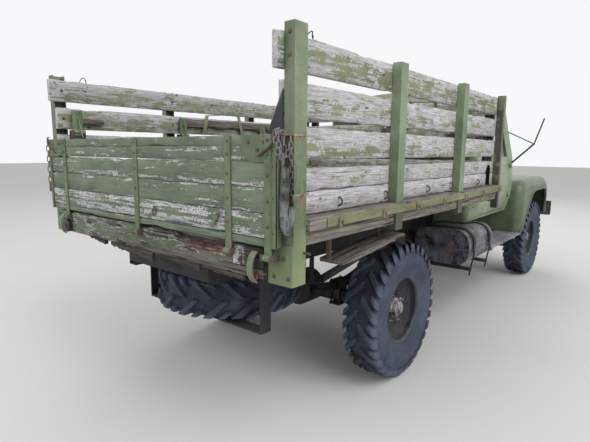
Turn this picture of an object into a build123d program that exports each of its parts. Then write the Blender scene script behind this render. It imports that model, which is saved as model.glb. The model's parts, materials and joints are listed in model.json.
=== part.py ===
from build123d import *
import math
import os

os.makedirs("parts", exist_ok=True)

# A four-wheel-drive cargo truck with a bonneted cab and a slatted timber body.
# Millimetres. +X is forward, +Y is the truck's left, +Z is up; the ground is z = 0.

# Wheels and tyres
wheelbase = 4000
rear_axle_x = -1606
front_axle_x = rear_axle_x + wheelbase
wheel_y = 882
tyre_radius = 523
tyre_width = 270
tyre_sides = 32
lug_height = 24
lugs_each_side = 16
lug_length = 130
lug_width = 40
lug_slant = 32
bead_radius = 250
bead_half_width = 98
rim_gauge = 8
flange_radius = 266
disc_outset = 46
disc_dish = 36
disc_flat_radius = 150
hub_radius = 78
hub_reach = 78
drum_radius = 205
drum_inboard = 94
spindle_radius = 42
running_clearance = 0.3
pin_proud = 3
seat_gap = 0.3
move_gap = 6

# Axles and steering
hub_z = tyre_radius
axle_tube_radius = 58
plate_gap = 8
plate_gauge = 8
kingpin_offset = 170
kingpin_radius = 20
knuckle_boss_radius = 44
knuckle_boss_height = 150
ear_height = 30
steering_arm = 210
steering_arm_width = 40
steering_arm_gauge = 16
tie_rod_z = 400
tie_rod_radius = 14
tie_rod_eye_radius = 24
ball_pin_radius = 10
diff_radius = 150
diff_width = 210
diff_nose = 150

# Frame and springs
rail_bottom = 930
rail_height = 200
rail_width = 78
rail_gauge = 8
rail_outer_y = 430
frame_rear_x = -3060
frame_front_x = 3175
cross_member_width = 90
cross_member_height = 150
cross_member_xs = (-3015, -1955, -1050, 0, 1090, 2900)
# half length and camber of the springs at each axle
spring_sizes = {"rear": (450, 105), "front": (620, 150)}
leaf_gauge = 13
leaf_width = 70
leaf_shares = (1.0, 0.8, 0.58, 0.34)
spring_y = rail_outer_y - rail_width / 2
spring_pad = 12
eye_radius = 24
eye_pin_radius = 12
hanger_gauge = 9
clamp_gauge = 12
clamp_bolt_radius = 8

# Engine and drive line
engine_rear_x = 1790
engine_front_x = 2660
engine_half_width = 250
engine_bottom = 760
engine_top = 1390
gearbox_rear_x = 1180
gearbox_half_width = 150
gearbox_bottom = 740
gearbox_top = 1040
gearbox_tail_half_width = 98
gearbox_tail_height = 198
transfer_x = (330, 740)
transfer_half_width = 190
transfer_z = (650, 915)
transfer_mount_x = (480, 570)
transfer_mount_height = 60
transfer_input_z = 860
shaft_radius = 38
shaft_gap = 9
silencer_radius = 90
silencer_x = (-640, -60)
silencer_z = 790
exhaust_y = 290
exhaust_pipe_radius = 28
exhaust_run = 100
exhaust_rise = 60
tailpipe_length = 330
# exhaust hangers: how far in from the silencer's ends, half width, and y out from the rail's edge
exhaust_hanger_inset = 70
exhaust_hanger_half = 20
exhaust_hanger_y = (10, 40)
radiator_x = (2830, 2900)
radiator_half_width = 330
radiator_top = 1500

# Timber body
bed_rear_x = -3200
bed_front_x = -90
bed_half_width = 1104
board_gauge = 36
board_outer_y = bed_half_width + board_gauge
post_width = 90
post_depth = 60
post_gauge = 7
post_top = 2250
rear_post_top = 2275
post_foot_z = 1200
middle_post_foot_z = 1250
rear_post_foot_z = 1110
corner_plate_height = 190
head_post_depth = 40
post_outer_y = board_outer_y + post_depth
# rear face of each post behind the front one, which is narrower
post_xs = (-3200, -2220, -1170)
front_post_width = 50
floor_top = 1400
floor_gauge = 40
plank_count = 11
plank_joint = 3
bearer_height = 100
bearer_width = 90
bearer_bottom = floor_top - floor_gauge - bearer_height
# bearers between the ones that stand at the posts
extra_bearer_xs = (-2790, -1695, -630)
ledge_top = 1420
ledge_reach = 1221
ledge_inner_y = 1040
rope_rail_gauge = 7
rope_rail_height = 46
rope_rail_drop = 8
rope_rail_rear_gap = 130
rope_rail_front_gap = 20
cleat_count = 7
cleat_size = 22
cleat_inset = 100
stringer_height = 70
stringer_outer_y = 1190
# The board rows from the ledge up: gap under the row, height of the row.
board_rows = ((6, 110), (2, 110), (42, 152), (38, 159), (43, 159))
top_board_overhang = 42
# arched opening through the two lowest rows of the right side: middle x, width, height
arch_x = -275
arch_width = 110
arch_height = 196
tailgate_half_width = 1142
tailgate_bottom = 1290
tailgate_gauge = 30
# The tailgate's rows from the bottom up: height.
tailgate_rows = (38, 115, 115, 113, 70, 50)
tailgate_joint = 2
tailgate_front_x = -3222
strap_gauge = 8
strap_width = 42
strap_ys = (-1095, -830, -20, 900)
tailgate_pin_x = -3262
tailgate_pin_z = 1243
tailgate_pin_radius = 9
strap_eye_radius = 15
gusset_gauge = 4
# the tailgate's corner plates, outline of y and z in from the tailgate's end and down from its top
gusset_outline = ((0, 0), (218, 0), (205, 96), (150, 122), (0, 125))
lug_gauge = 9
lug_play = 1
rear_beam_x = (-3240, -3200)
rear_beam_half_width = 1044
rear_beam_bottom = 1128
rear_beam_top = 1278
bench_hinge_y = 1050
bench_hinge_z = 1858
bench_board_gauge = 28
# what is left of the seat boards: rear end, front end, lower edge, width
bench_boards = ((-3096, -2850, 1921, 48), (-2120, -1000, 1945, 76), (-960, -300, 1945, 76))
bench_pin_radius = 8
bench_arm_xs = (-3070, -2090, -1030, -340)
bench_arm_width = 80
bench_arm_gauge = 10
bench_arm_top = 2022
bench_eye_radius = 18
bench_brace_gauge = 6
bench_brace_rise = 140
bench_stay_width = 38
bench_stay_gauge = 8
# the folded seat legs: x and z of foot and of head
bench_stays = (((-1850, 1880), (-1806, 2063)), ((-1330, 1880), (-1396, 2096)))
bench_tie_radius = 4
# brace foot: in from the hinge line, down from it
bench_brace_foot = (62, 42)
bench_lug_gauge = 6
bench_lug_reach = 14
bench_lug_z = (1800, bench_hinge_z + 16)

# Lamp guards and tail lamps
guard_y = 995
guard_width = 40
guard_gauge = 6
guard_reach_x = -3280
guard_z = (1105, 1262)
tail_lamp_y = 925
tail_lamp_z = 1175
tail_lamp_radius = 46
tail_lamp_depth = 32

# Splash boards
splash_x = (-2714, -2000)
splash_y = (985, 1160)
splash_z = (1112, 1175)
splash_gauge = 25
splash_hanger_y = (1030, 1060)
splash_hanger_gauge = 14

# Steel collars round the rear posts, and the chains that hang from their tabs
collar_zs = (1530, 1793)
collar_gauge = 10
collar_proud = 8
collar_tab_x = -3246
collar_tab_y = (1150, 1180)
chain_wire = 7
chain_link_length = 54
chain_link_width = 30
chain_pitch = 39
# links that hang from each side's upper collar
chain_links = {"left": 8, "right": 3}
chain_latch = (34, 28, 62)
sleeve_gauge = 30
sleeve_leg_y = (1150, 1198)
sleeve_tail_y = (1204, 1229)
sleeve_tail_z = 1490
# y and z round the sleeve's bend, outside and inside
sleeve_bend = ((1150, 1390), (1180, 1365), (1222, 1400))
sleeve_crotch = ((1200, 1436), (1192, 1436))

# Rope hooks on the lowest board row
rope_hook_xs = (-2759, -2262, -1648, -1212, -578)
rope_hook_z = 1470
rope_hook_reach = 22
rope_hook_radius = 5

# Spare wheel and its carrier
spare_x = -2494
spare_z = 778
carrier_x = -2745
carrier_half_width = 600
carrier_bottom = 590
carrier_width = 90
carrier_gauge = 12
carrier_stud_radius = 9
carrier_stud_reach = 70
carrier_stud_drop = 55
carrier_clamp_half = 100

# Tanks and running boards
tank_x = (-410, 300)
tank_y = (505, 1058)
tank_z = (640, 984)
tank_round = 130
tank_seam_z = 795
tank_seam_reach = 9
tank_seam_half = 3
tank_strap_gauge = 5
tank_strap_width = 50
tank_strap_xs = (-290, 190)
tank_bar_z = (580, 610)
tank_bar_inset = 10
tank_strap_foot = 30
tank_arm_gauge = 18
hook_bolt_inset = 25
hook_bolt_drop = 50
rail_plate_drop = 20
step_x = (345, 1560)
step_y = (745, 1050)
step_z = (694, 724)
step_rib_height = 7
step_rib_count = 6
step_bracket_xs = (465, 1380)
step_bracket_width = 50
step_bracket_depth = 40
step_bracket_inset = 30

# Cab
cab_rear_x = 20
cab_wall = 40
cab_half_width = 930
cab_sill_half_width = 850
cowl_under_z = 1400
cowl_half_width = 690
cowl_taper_x = 1420
cab_sill_z = 1000
cab_mount_gap = 20
cab_floor_z = rail_bottom + rail_height + cab_mount_gap
cab_floor_gauge = 40
cab_tunnel_half_width = 520
cab_belt_z = 1420
cab_roof_half_width = 862
cab_roof_z = 2300
cab_crown = 95
cowl_front_x = 1645
cowl_z = 1640
footwell_front_x = 1462
screen_foot_x = 1440
screen_foot_z = 1665
screen_head_x = 1170
screen_head_z = 2215
cab_corner_round = 130
# the roof's side outline: run behind the screen head, run and drop at the rear
roof_front_run = 150
roof_rear_run = 90
roof_rear_drop = 210
# the eave: drop to the gutter, run in and rise to the roof's edge, and the arc's own middle
eave_drop = 110
eave_run = 130
eave_rise = 30
eave_middle = (32, 22)
# the sill's curve out to the belt: in from the half width, up from the sill
sill_middle = (18, 210)
door_x = (420, 1300)
door_z = (1045, 2190)
door_gap = 7
glass_gauge = 6
glass_inset = 17
door_frame = 78
window_foot_rise = 15
window_head_drop = 70
screen_half_width = 770
screen_z = (1705, 2160)
rear_window_half_width = 450
rear_window_z = (1850, 2150)
glass_corner = 45
hinge_zs = (1215, 1575)
hinge_radius = 9
hinge_length = 60
hinge_leaf = 34
hinge_leaf_depth = 39
handle_x = (462, 576)
handle_z = 1345
handle_reach = 27
handle_gauge = 12
handle_height = 18
cab_mount_inset = 110
dash_half_width = 765
dash_rear_x = 1300
dash_z = (1340, 1610)
steering_y = 380
steering_wheel_radius = 215
steering_grip = 24
column_radius = 22
column_foot_x = 1310
column_foot_z = 1413
column_head_x = 1010
column_head_z = 1575
seat_x = (240, 700)
seat_half_width = 740
seat_box_top = 1340
seat_top = 1450
seat_overhang = (5, 25)
seat_edge_round = 35
seat_back_z = (1460, 1900)

# Front sheet metal
wing_gauge = 16
wing_outer_y = 1062
wing_inner_y = 470
wing_rear_x = 1470
wing_front_x = 2975
wing_top_z = 1392
wing_nose_z = 860
wing_edge_round = 110
wing_rear_round = 190
wing_front_round = 290
arch_outline = [(1490, 700), (2020, 1222), (2830, 1222), (2800, 800)]
arch_rounds = (400, 160)
arch_lip_width = 22
arch_lip_proud = 7
wing_foot_x = (1970, 2675)
bonnet_rear_x = cowl_front_x + 8
bonnet_front_x = 2950
bonnet_rear_half = 590
bonnet_front_half = 520
bonnet_rear_z = 1632
bonnet_front_z = 1570
bonnet_skirt_z = 1402
bonnet_gauge = 18
bonnet_shoulder_drop = 125
bonnet_hinge_x = cowl_front_x + 9
bonnet_hinge_z = 1642
bonnet_hinge_radius = 8
bonnet_hinge_y = 95
bonnet_hinge_half = 30
bonnet_leaf = 36
bonnet_leaf_depth = {"bonnet": 30, "cowl": 9}
grille_x = (2966, 2992)
grille_bottom = rail_bottom + rail_height + move_gap
grille_slots = 13
grille_slot_width = 36
grille_slot_inset = 25
grille_slot_foot = 60
lamp_y = 765
lamp_z = 1105
lamp_radius = 105
lamp_depth = 28
lamp_lens_depth = 12
lamp_rim = 14
bumper_front_x = 3280
bumper_depth = 95
bumper_half_width = 1060
bumper_z = (775, 990)
bumper_gauge = 10
tow_eye_x = 3205
tow_eye_radius = 48
tow_eye_hole = 24
tow_eye_half = 12
tow_base_x = (3075, 3245)
tow_base_half = 35
tow_base_gauge = 14

# Mirror arms, y outwards: foot, elbow, head and the stay's foot
mirror_foot = (1400, 908, 1598)
mirror_elbow = (1420, 1146, 1836)
mirror_head = (1420, 1236, 2137)
mirror_stay_foot = (1264, 876, 1979)
mirror_bracket = (44, 14)
mirror_bar_radius = 8
mirror_stay_radius = 6


def span(a, b):
    """Two values in rising order."""
    return (min(a, b), max(a, b))


def block(x, y, z, mode=Mode.ADD):
    """A square block between pairs of x, y and z."""
    with Locations(((x[0] + x[1]) / 2, (y[0] + y[1]) / 2, (z[0] + z[1]) / 2)):
        Box(x[1] - x[0], y[1] - y[0], z[1] - z[0], mode=mode)


def rod(start, end, radius, mode=Mode.ADD):
    """A round bar between two points."""
    axis = Vector(*end) - Vector(*start)
    with BuildSketch(Plane(origin=start, z_dir=axis.normalized())) as section:
        Circle(radius)
    extrude(section.sketch, amount=axis.length, mode=mode)


def flat_bar(start, end, width, gauge, x_dir, mode=Mode.ADD):
    """A flat bar between two points, its width along x_dir."""
    axis = Vector(*end) - Vector(*start)
    with BuildSketch(Plane(origin=start, x_dir=x_dir, z_dir=axis.normalized())) as section:
        Rectangle(width, gauge)
    extrude(section.sketch, amount=axis.length, mode=mode)


def prism_y(points, y, mode=Mode.ADD):
    """A closed outline of x and z, run across the truck between a pair of y."""
    with BuildSketch(Plane.XZ.offset(-y[1])) as section:
        with BuildLine():
            Polyline(*points, close=True)
        make_face()
    extrude(section.sketch, amount=y[1] - y[0], mode=mode)


def save(piece, label):
    """Writes a finished piece under its node name."""
    piece.label = label
    export_step(piece, f"parts/{label}.step")


# Tyres: flats round the axle stand for the round carcass, with slanted lugs to the tip.
def build_tyre():
    carcass = tyre_radius - lug_height
    half = tyre_width / 2
    # distance from the middle plane, radius
    rings = (
        (-half, 0.81 * carcass),
        (-0.86 * half, 0.955 * carcass),
        (-0.68 * half, carcass),
        (0.68 * half, carcass),
        (0.86 * half, 0.955 * carcass),
        (half, 0.81 * carcass),
    )
    lug_foot = 0.93 * carcass
    with BuildPart() as tyre:
        for offset_y, radius in rings:
            with BuildSketch(Plane.XZ.offset(offset_y)):
                RegularPolygon(radius=radius, side_count=tyre_sides)
        loft(ruled=True)
        places = []
        for side in (-1, 1):
            for i in range(lugs_each_side):
                turn = -90 + (i + (0.5 if side > 0 else 0)) * 360 / lugs_each_side
                out = Vector(math.cos(math.radians(turn)), 0, math.sin(math.radians(turn)))
                foot = out * lug_foot + Vector(0, side * 0.47 * half, 0)
                lie = Plane(origin=foot, x_dir=(0, 1, 0), z_dir=out)
                places.append(lie.location * Location((0, 0, 0), (0, 0, -side * lug_slant)))
        with Locations(*places):
            on_foot = (Align.CENTER, Align.CENTER, Align.MIN)
            Box(lug_length, lug_width, tyre_radius - lug_foot, align=on_foot)
        for side in (-1, 1):
            with BuildSketch(Plane.XZ.offset(side * half)):
                RegularPolygon(radius=0.77 * carcass, side_count=tyre_sides)
            with BuildSketch(Plane.XZ.offset(side * bead_half_width)):
                RegularPolygon(radius=flange_radius + 8, side_count=tyre_sides)
            loft(ruled=True, mode=Mode.SUBTRACT)
        with BuildSketch(Plane.XZ.offset(-half)):
            RegularPolygon(radius=bead_radius, side_count=tyre_sides)
        extrude(amount=tyre_width, mode=Mode.SUBTRACT)
    return tyre.part


# Disc wheel with its hub and brake drum; the outboard face looks towards -Y.
def build_wheel(with_hub):
    barrel = bead_radius - seat_gap
    hollow = barrel - rim_gauge
    with BuildPart() as wheel:
        with BuildSketch(Plane.XZ.offset(-bead_half_width)):
            RegularPolygon(radius=barrel, side_count=tyre_sides)
        extrude(amount=2 * bead_half_width)
        for side in (-1, 1):
            start = min(side * bead_half_width, side * (bead_half_width + rim_gauge))
            with BuildSketch(Plane.XZ.offset(start)):
                RegularPolygon(radius=flange_radius, side_count=tyre_sides)
            extrude(amount=rim_gauge)
        with BuildSketch(Plane.XZ.offset(-bead_half_width - rim_gauge)):
            RegularPolygon(radius=hollow, side_count=tyre_sides)
        extrude(amount=2 * (bead_half_width + rim_gauge), mode=Mode.SUBTRACT)
        for lift, edge, mode in ((0, 2, Mode.ADD), (rim_gauge, 0, Mode.SUBTRACT)):
            with BuildSketch(Plane.XZ.offset(disc_outset + lift)):
                RegularPolygon(radius=hollow + edge, side_count=tyre_sides)
            with BuildSketch(Plane.XZ.offset(disc_outset - disc_dish + lift)):
                RegularPolygon(radius=disc_flat_radius, side_count=tyre_sides)
            loft(ruled=True, mode=mode)
        if with_hub:
            face = disc_outset - disc_dish
            with BuildSketch(Plane.XZ.offset(-drum_inboard)):
                Circle(drum_radius)
            extrude(amount=drum_inboard + face)
            with BuildSketch(Plane.XZ.offset(-drum_inboard)):
                Circle(drum_radius - 1.6 * rim_gauge)
            extrude(amount=drum_inboard + face - 2 * rim_gauge, mode=Mode.SUBTRACT)
            with BuildSketch(Plane.XZ.offset(-0.6 * drum_inboard)):
                Circle(hub_radius)
            extrude(amount=0.6 * drum_inboard + hub_reach)
            with BuildSketch(Plane.XZ.offset(-drum_inboard)):
                Circle(spindle_radius + running_clearance)
            extrude(amount=drum_inboard + hub_reach / 2, mode=Mode.SUBTRACT)
    return wheel.part


tyre = build_tyre()
wheel = build_wheel(True)
spare_disc = build_wheel(False)
corners = {
    "rear_left": (rear_axle_x, 1),
    "rear_right": (rear_axle_x, -1),
    "front_left": (front_axle_x, 1),
    "front_right": (front_axle_x, -1),
}
for corner, (x, side) in corners.items():
    place = Location((x, side * wheel_y, hub_z), (0, 0, 180 if side > 0 else 0))
    save(tyre.moved(place), f"tyre_{corner}")
    save(wheel.moved(place), f"wheel_{corner}")
flat = Location((spare_x, 0, spare_z), (90, 0, 0))
save(tyre.moved(flat), "tyre_spare")
save(spare_disc.moved(flat), "wheel_spare")

# Axles, with a brake plate and a spindle for each hub
plate_y = wheel_y - drum_inboard - plate_gap - plate_gauge
spindle_end = wheel_y + hub_reach / 2 - plate_gap
spring_seat_z = hub_z + axle_tube_radius + spring_pad


def spindle_and_plate(x, side):
    """Brake back plate and the spindle that carries a hub."""
    plate_face = side * (plate_y + plate_gauge)
    rod((x, side * plate_y, hub_z), (x, plate_face, hub_z), drum_radius - plate_gauge)
    rod((x, side * plate_y, hub_z), (x, side * spindle_end, hub_z), spindle_radius)


def axle_beam(x, reach, nose):
    """Tube out to +-reach, the round housing, its nose along nose * X, and the spring pads."""
    rod((x, -reach, hub_z), (x, reach, hub_z), axle_tube_radius)
    rod((x - diff_width / 2, 0, hub_z), (x + diff_width / 2, 0, hub_z), diff_radius)
    nose_x = x + nose * (diff_width / 2 + diff_nose)
    rod((x, 0, hub_z), (nose_x, 0, hub_z), shaft_radius + plate_gauge)
    for side in (-1, 1):
        pad_y = span(side * (spring_y - leaf_width / 2), side * (spring_y + leaf_width / 2))
        block((x - axle_tube_radius, x + axle_tube_radius), pad_y, (hub_z, spring_seat_z))


with BuildPart() as axle_rear:
    axle_beam(rear_axle_x, plate_y, 1)
    for side in (-1, 1):
        spindle_and_plate(rear_axle_x, side)
save(axle_rear.part, "axle_rear")

kingpin_y = wheel_y - kingpin_offset
boss_half = knuckle_boss_height / 2
ear_z = boss_half + seat_gap
with BuildPart() as axle_front:
    axle_beam(front_axle_x, kingpin_y, -1)
    for side in (-1, 1):
        with Locations((front_axle_x, side * kingpin_y, hub_z)):
            Cylinder(knuckle_boss_radius, knuckle_boss_height)
            Cylinder(kingpin_radius, 2 * (ear_z + ear_height + pin_proud))
        boss_y = kingpin_y + knuckle_boss_radius
        outer = span(side * boss_y, side * (boss_y + knuckle_boss_radius))
        reach_x = (front_axle_x - diff_radius, front_axle_x + diff_radius)
        block(reach_x, outer, (0, 2 * hub_z), mode=Mode.SUBTRACT)
save(axle_front.part, "axle_front")

# Steering knuckles: a yoke round the kingpin boss, the spindle and an arm back to the tie rod
ball_x = front_axle_x - steering_arm
arm_foot_z = hub_z - ear_z - ear_height + 2 * pin_proud
arm_z = (arm_foot_z, arm_foot_z + steering_arm_gauge)
for side, name in ((1, "left"), (-1, "right")):
    pin_y = side * kingpin_y
    yoke_x = (front_axle_x - knuckle_boss_radius, front_axle_x + knuckle_boss_radius)
    web_y = span(side * (kingpin_y + knuckle_boss_radius + move_gap), side * plate_y)
    with BuildPart() as knuckle:
        for end in (-1, 1):
            ear = span(hub_z + end * ear_z, hub_z + end * (ear_z + ear_height))
            rod((front_axle_x, pin_y, ear[0]), (front_axle_x, pin_y, ear[1]), knuckle_boss_radius)
            block(yoke_x, span(pin_y, side * plate_y), ear)
        block(yoke_x, web_y, (hub_z - ear_z, hub_z + ear_z))
        spindle_and_plate(front_axle_x, side)
        arm_y = (pin_y - steering_arm_width / 2, pin_y + steering_arm_width / 2)
        block((ball_x, front_axle_x), arm_y, arm_z)
        pin_foot_z = tie_rod_z - tie_rod_eye_radius
        rod((ball_x, pin_y, arm_z[0]), (ball_x, pin_y, arm_z[1]), tie_rod_eye_radius)
        rod((ball_x, pin_y, arm_z[0]), (ball_x, pin_y, pin_foot_z), ball_pin_radius)
        with Locations((front_axle_x, pin_y, hub_z)):
            Cylinder(kingpin_radius + running_clearance, 4 * ear_z, mode=Mode.SUBTRACT)
    save(knuckle.part, f"knuckle_{name}")

with BuildPart() as tie_rod:
    rod((ball_x, -kingpin_y, tie_rod_z), (ball_x, kingpin_y, tie_rod_z), tie_rod_radius)
    with Locations((ball_x, kingpin_y, tie_rod_z), (ball_x, -kingpin_y, tie_rod_z)):
        Cylinder(tie_rod_eye_radius, tie_rod_eye_radius)
        Cylinder(ball_pin_radius + running_clearance, 2 * tie_rod_eye_radius, mode=Mode.SUBTRACT)
save(tie_rod.part, "tie_rod")

# Ladder frame of two channels and folded cross members
rail_z = (rail_bottom, rail_bottom + rail_height)
rail_inner_y = rail_outer_y - rail_width
with BuildPart() as frame:
    for side in (-1, 1):
        rail_y = span(side * rail_inner_y, side * rail_outer_y)
        hollow_y = span(side * (rail_inner_y - 1), side * (rail_outer_y - rail_gauge))
        block((frame_rear_x, frame_front_x), rail_y, rail_z)
        hollow_z = (rail_z[0] + rail_gauge, rail_z[1] - rail_gauge)
        block((frame_rear_x, frame_front_x), hollow_y, hollow_z, mode=Mode.SUBTRACT)
    middle_z = rail_bottom + rail_height / 2
    member_z = (middle_z - cross_member_height / 2, middle_z + cross_member_height / 2)
    inner_z = (member_z[0] - 1, member_z[1] - rail_gauge)
    web_face = rail_outer_y - rail_gauge
    for x in cross_member_xs:
        block((x - cross_member_width / 2, x + cross_member_width / 2), (-web_face, web_face), member_z)
        inner_x = (x - cross_member_width / 2 + rail_gauge, x + cross_member_width / 2 - rail_gauge)
        block(inner_x, (-web_face + rail_width, web_face - rail_width), inner_z, mode=Mode.SUBTRACT)
save(frame.part, "frame")


# Leaf springs: nested arcs, the longest on top, with eyes, hangers and axle clamps
def leaf_springs(x, half, camber):
    top_radius = (half**2 + camber**2) / (2 * camber)
    stack = len(leaf_shares) * leaf_gauge
    centre_z = spring_seat_z + stack + top_radius
    eye_z = spring_seat_z + stack + camber - leaf_gauge / 2
    with BuildPart() as springs:
        for side in (-1, 1):
            y = side * spring_y
            for i, share in enumerate(leaf_shares):
                near = top_radius + i * leaf_gauge
                far = near + leaf_gauge
                lean = math.asin(share * half / near)
                ends = []
                for radius in (near, far):
                    ends.append(
                        (
                            (x - radius * math.sin(lean), centre_z - radius * math.cos(lean)),
                            (x, centre_z - radius),
                            (x + radius * math.sin(lean), centre_z - radius * math.cos(lean)),
                        )
                    )
                with BuildSketch(Plane.XZ.offset(-y - leaf_width / 2)):
                    with BuildLine():
                        ThreePointArc(*ends[0])
                        Line(ends[0][2], ends[1][2])
                        ThreePointArc(*ends[1])
                        Line(ends[0][0], ends[1][0])
                    make_face()
                extrude(amount=leaf_width)
            leaf_y = (y - leaf_width / 2, y + leaf_width / 2)
            for end in (-1, 1):
                eye_x = x + end * half
                rod((eye_x, leaf_y[0], eye_z), (eye_x, leaf_y[1], eye_z), eye_radius)
                cheek_y = (leaf_y[0] - hanger_gauge, leaf_y[1] + hanger_gauge)
                rod((eye_x, cheek_y[0], eye_z), (eye_x, cheek_y[1], eye_z), eye_pin_radius)
                cheek_x = (eye_x - eye_radius, eye_x + eye_radius)
                cheek_z = (eye_z - eye_radius, rail_bottom)
                for low in (cheek_y[0], leaf_y[1]):
                    block(cheek_x, (low, low + hanger_gauge), cheek_z)
            pack_top = spring_seat_z + stack
            bolt_x = axle_tube_radius + clamp_bolt_radius + 1
            bolt_y = leaf_width / 2 + clamp_bolt_radius
            plate_x = (x - bolt_x - 2 * clamp_bolt_radius, x + bolt_x + 2 * clamp_bolt_radius)
            plate_span_y = (y - bolt_y - clamp_bolt_radius, y + bolt_y + clamp_bolt_radius)
            block(plate_x, plate_span_y, (pack_top, pack_top + clamp_gauge))
            foot_z = hub_z - axle_tube_radius
            bolt_foot_z = foot_z - clamp_gauge
            block(plate_x, plate_span_y, (bolt_foot_z, foot_z))
            for dx in (-bolt_x, bolt_x):
                for dy in (-bolt_y, bolt_y):
                    top_z = pack_top + clamp_gauge + clamp_bolt_radius
                    rod((x + dx, y + dy, bolt_foot_z), (x + dx, y + dy, top_z), clamp_bolt_radius)
    return springs.part


with BuildPart() as springs:
    add(leaf_springs(rear_axle_x, *spring_sizes["rear"]))
    add(leaf_springs(front_axle_x, *spring_sizes["front"]))
save(springs.part, "springs")

# Engine as one plain block, then gearbox, transfer case and propeller shafts
with BuildPart() as engine:
    engine_y = (-engine_half_width, engine_half_width)
    block((engine_rear_x, engine_front_x), engine_y, (engine_bottom, engine_top))
    with BuildSketch(Plane.YZ.offset(engine_rear_x)):
        with Locations((0, (gearbox_bottom + gearbox_top) / 2)):
            Rectangle(2 * gearbox_half_width, gearbox_top - gearbox_bottom)
    with BuildSketch(Plane.YZ.offset(gearbox_rear_x)):
        with Locations((0, (gearbox_bottom + gearbox_top) / 2)):
            Rectangle(2 * gearbox_tail_half_width, gearbox_tail_height)
    loft(ruled=True)
save(engine.part, "engine")
shaft_z = sum(transfer_z) / 2
nose_reach = diff_width / 2 + diff_nose
with BuildPart() as transfer_case:
    block(transfer_x, (-transfer_half_width, transfer_half_width), transfer_z)
    for side in (-1, 1):
        mount_y = span(side * transfer_half_width, side * rail_inner_y)
        mount_foot_z = transfer_z[1] - transfer_mount_height
        block(transfer_mount_x, mount_y, (mount_foot_z, transfer_z[1]))
        hang_y = span(side * rail_inner_y, side * rail_outer_y)
        block(transfer_mount_x, hang_y, (mount_foot_z, rail_bottom))
    rod((rear_axle_x + nose_reach + shaft_gap, 0, hub_z), (transfer_x[0], 0, shaft_z), shaft_radius)
    rod((transfer_x[1], 0, shaft_z), (front_axle_x - nose_reach - shaft_gap, 0, hub_z), shaft_radius)
    rod((transfer_x[1], 0, transfer_input_z), (gearbox_rear_x, 0, transfer_input_z), shaft_radius)
save(transfer_case.part, "transfer_case")
with BuildPart() as exhaust:
    silencer_ends = [(x, -exhaust_y, silencer_z) for x in silencer_x]
    elbow = (engine_rear_x + exhaust_run, -exhaust_y, silencer_z)
    manifold = (elbow[0], -engine_half_width, silencer_z + exhaust_rise)
    outlet = (silencer_x[0] - tailpipe_length, -exhaust_y, silencer_z)
    rod(silencer_ends[0], silencer_ends[1], silencer_radius)
    rod(silencer_ends[1], elbow, exhaust_pipe_radius)
    rod(elbow, manifold, exhaust_pipe_radius)
    rod(silencer_ends[0], outlet, exhaust_pipe_radius)
    hanger_y = (-rail_inner_y - exhaust_hanger_y[1], -rail_inner_y - exhaust_hanger_y[0])
    hanger_foot_z = (silencer_z - plate_gauge, silencer_z)
    for x in (silencer_x[0] + exhaust_hanger_inset, silencer_x[1] - exhaust_hanger_inset):
        hanger_x = (x - exhaust_hanger_half, x + exhaust_hanger_half)
        block(hanger_x, hanger_y, (silencer_z, rail_bottom))
        block(hanger_x, (hanger_y[0], -exhaust_y), hanger_foot_z)
save(exhaust.part, "exhaust")
with BuildPart() as radiator:
    block(radiator_x, (-radiator_half_width, radiator_half_width), (member_z[1], radiator_top))
save(radiator.part, "radiator")

# Timber body: sills along the rails, bearers across them, then planks
bearer_z = (bearer_bottom, floor_top - floor_gauge)
floor_z = (bearer_z[1], floor_top)
front_post_x = bed_front_x - front_post_width
with BuildPart() as bed_bearers:
    for side in (-1, 1):
        sill_y = span(side * rail_inner_y, side * rail_outer_y)
        block((bed_rear_x, bed_front_x), sill_y, (rail_z[1], bearer_bottom))
    for x in post_xs:
        block((x, x + bearer_width), (-board_outer_y, board_outer_y), bearer_z)
    block((front_post_x, bed_front_x), (-board_outer_y, board_outer_y), bearer_z)
    for x in extra_bearer_xs:
        block((x, x + bearer_width), (-bed_half_width, bed_half_width), bearer_z)
save(bed_bearers.part, "bed_bearers")
plank_reach = ledge_inner_y - plank_joint
plank_pitch = (2 * plank_reach + plank_joint) / plank_count
with BuildPart() as bed_floor:
    for i in range(plank_count):
        low = -plank_reach + i * plank_pitch
        block((bed_rear_x, bed_front_x), (low, low + plank_pitch - plank_joint), floor_z)
save(bed_floor.part, "bed_floor")

# Side ledges notched round the posts, stringers between the posts, and the steel rope rails
ledge_rear_x = bed_rear_x + post_width + plank_joint
notch_xs = [(x, x + post_width) for x in post_xs[1:]] + [(front_post_x, bed_front_x)]
with BuildPart() as ledges:
    for side in (-1, 1):
        ledge_y = span(side * ledge_inner_y, side * ledge_reach)
        block((ledge_rear_x, bed_front_x), ledge_y, (floor_z[0], ledge_top))
        for low, high in notch_xs:
            notch_y = span(side * board_outer_y, side * (post_outer_y + 1))
            block((low - 1, high + 1), notch_y, (floor_z[0], ledge_top), mode=Mode.SUBTRACT)
    for side in (-1, 1):
        start = ledge_rear_x
        for low, high in notch_xs:
            stringer_y = span(side * bed_half_width, side * stringer_outer_y)
            block((start, low - 1), stringer_y, (bearer_z[1] - stringer_height, bearer_z[1]))
            start = high + 1
save(ledges.part, "ledges")
rope_rail_x = (ledge_rear_x + rope_rail_rear_gap, bed_front_x - rope_rail_front_gap)
rope_rail_z = (ledge_top - rope_rail_drop - rope_rail_height, ledge_top - rope_rail_drop)
cleat_z = (rope_rail_z[0] - rope_rail_drop, rope_rail_z[1] - rope_rail_drop)
cleat_pitch = (rope_rail_x[1] - rope_rail_x[0] - 2 * cleat_inset) / (cleat_count - 1)
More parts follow.
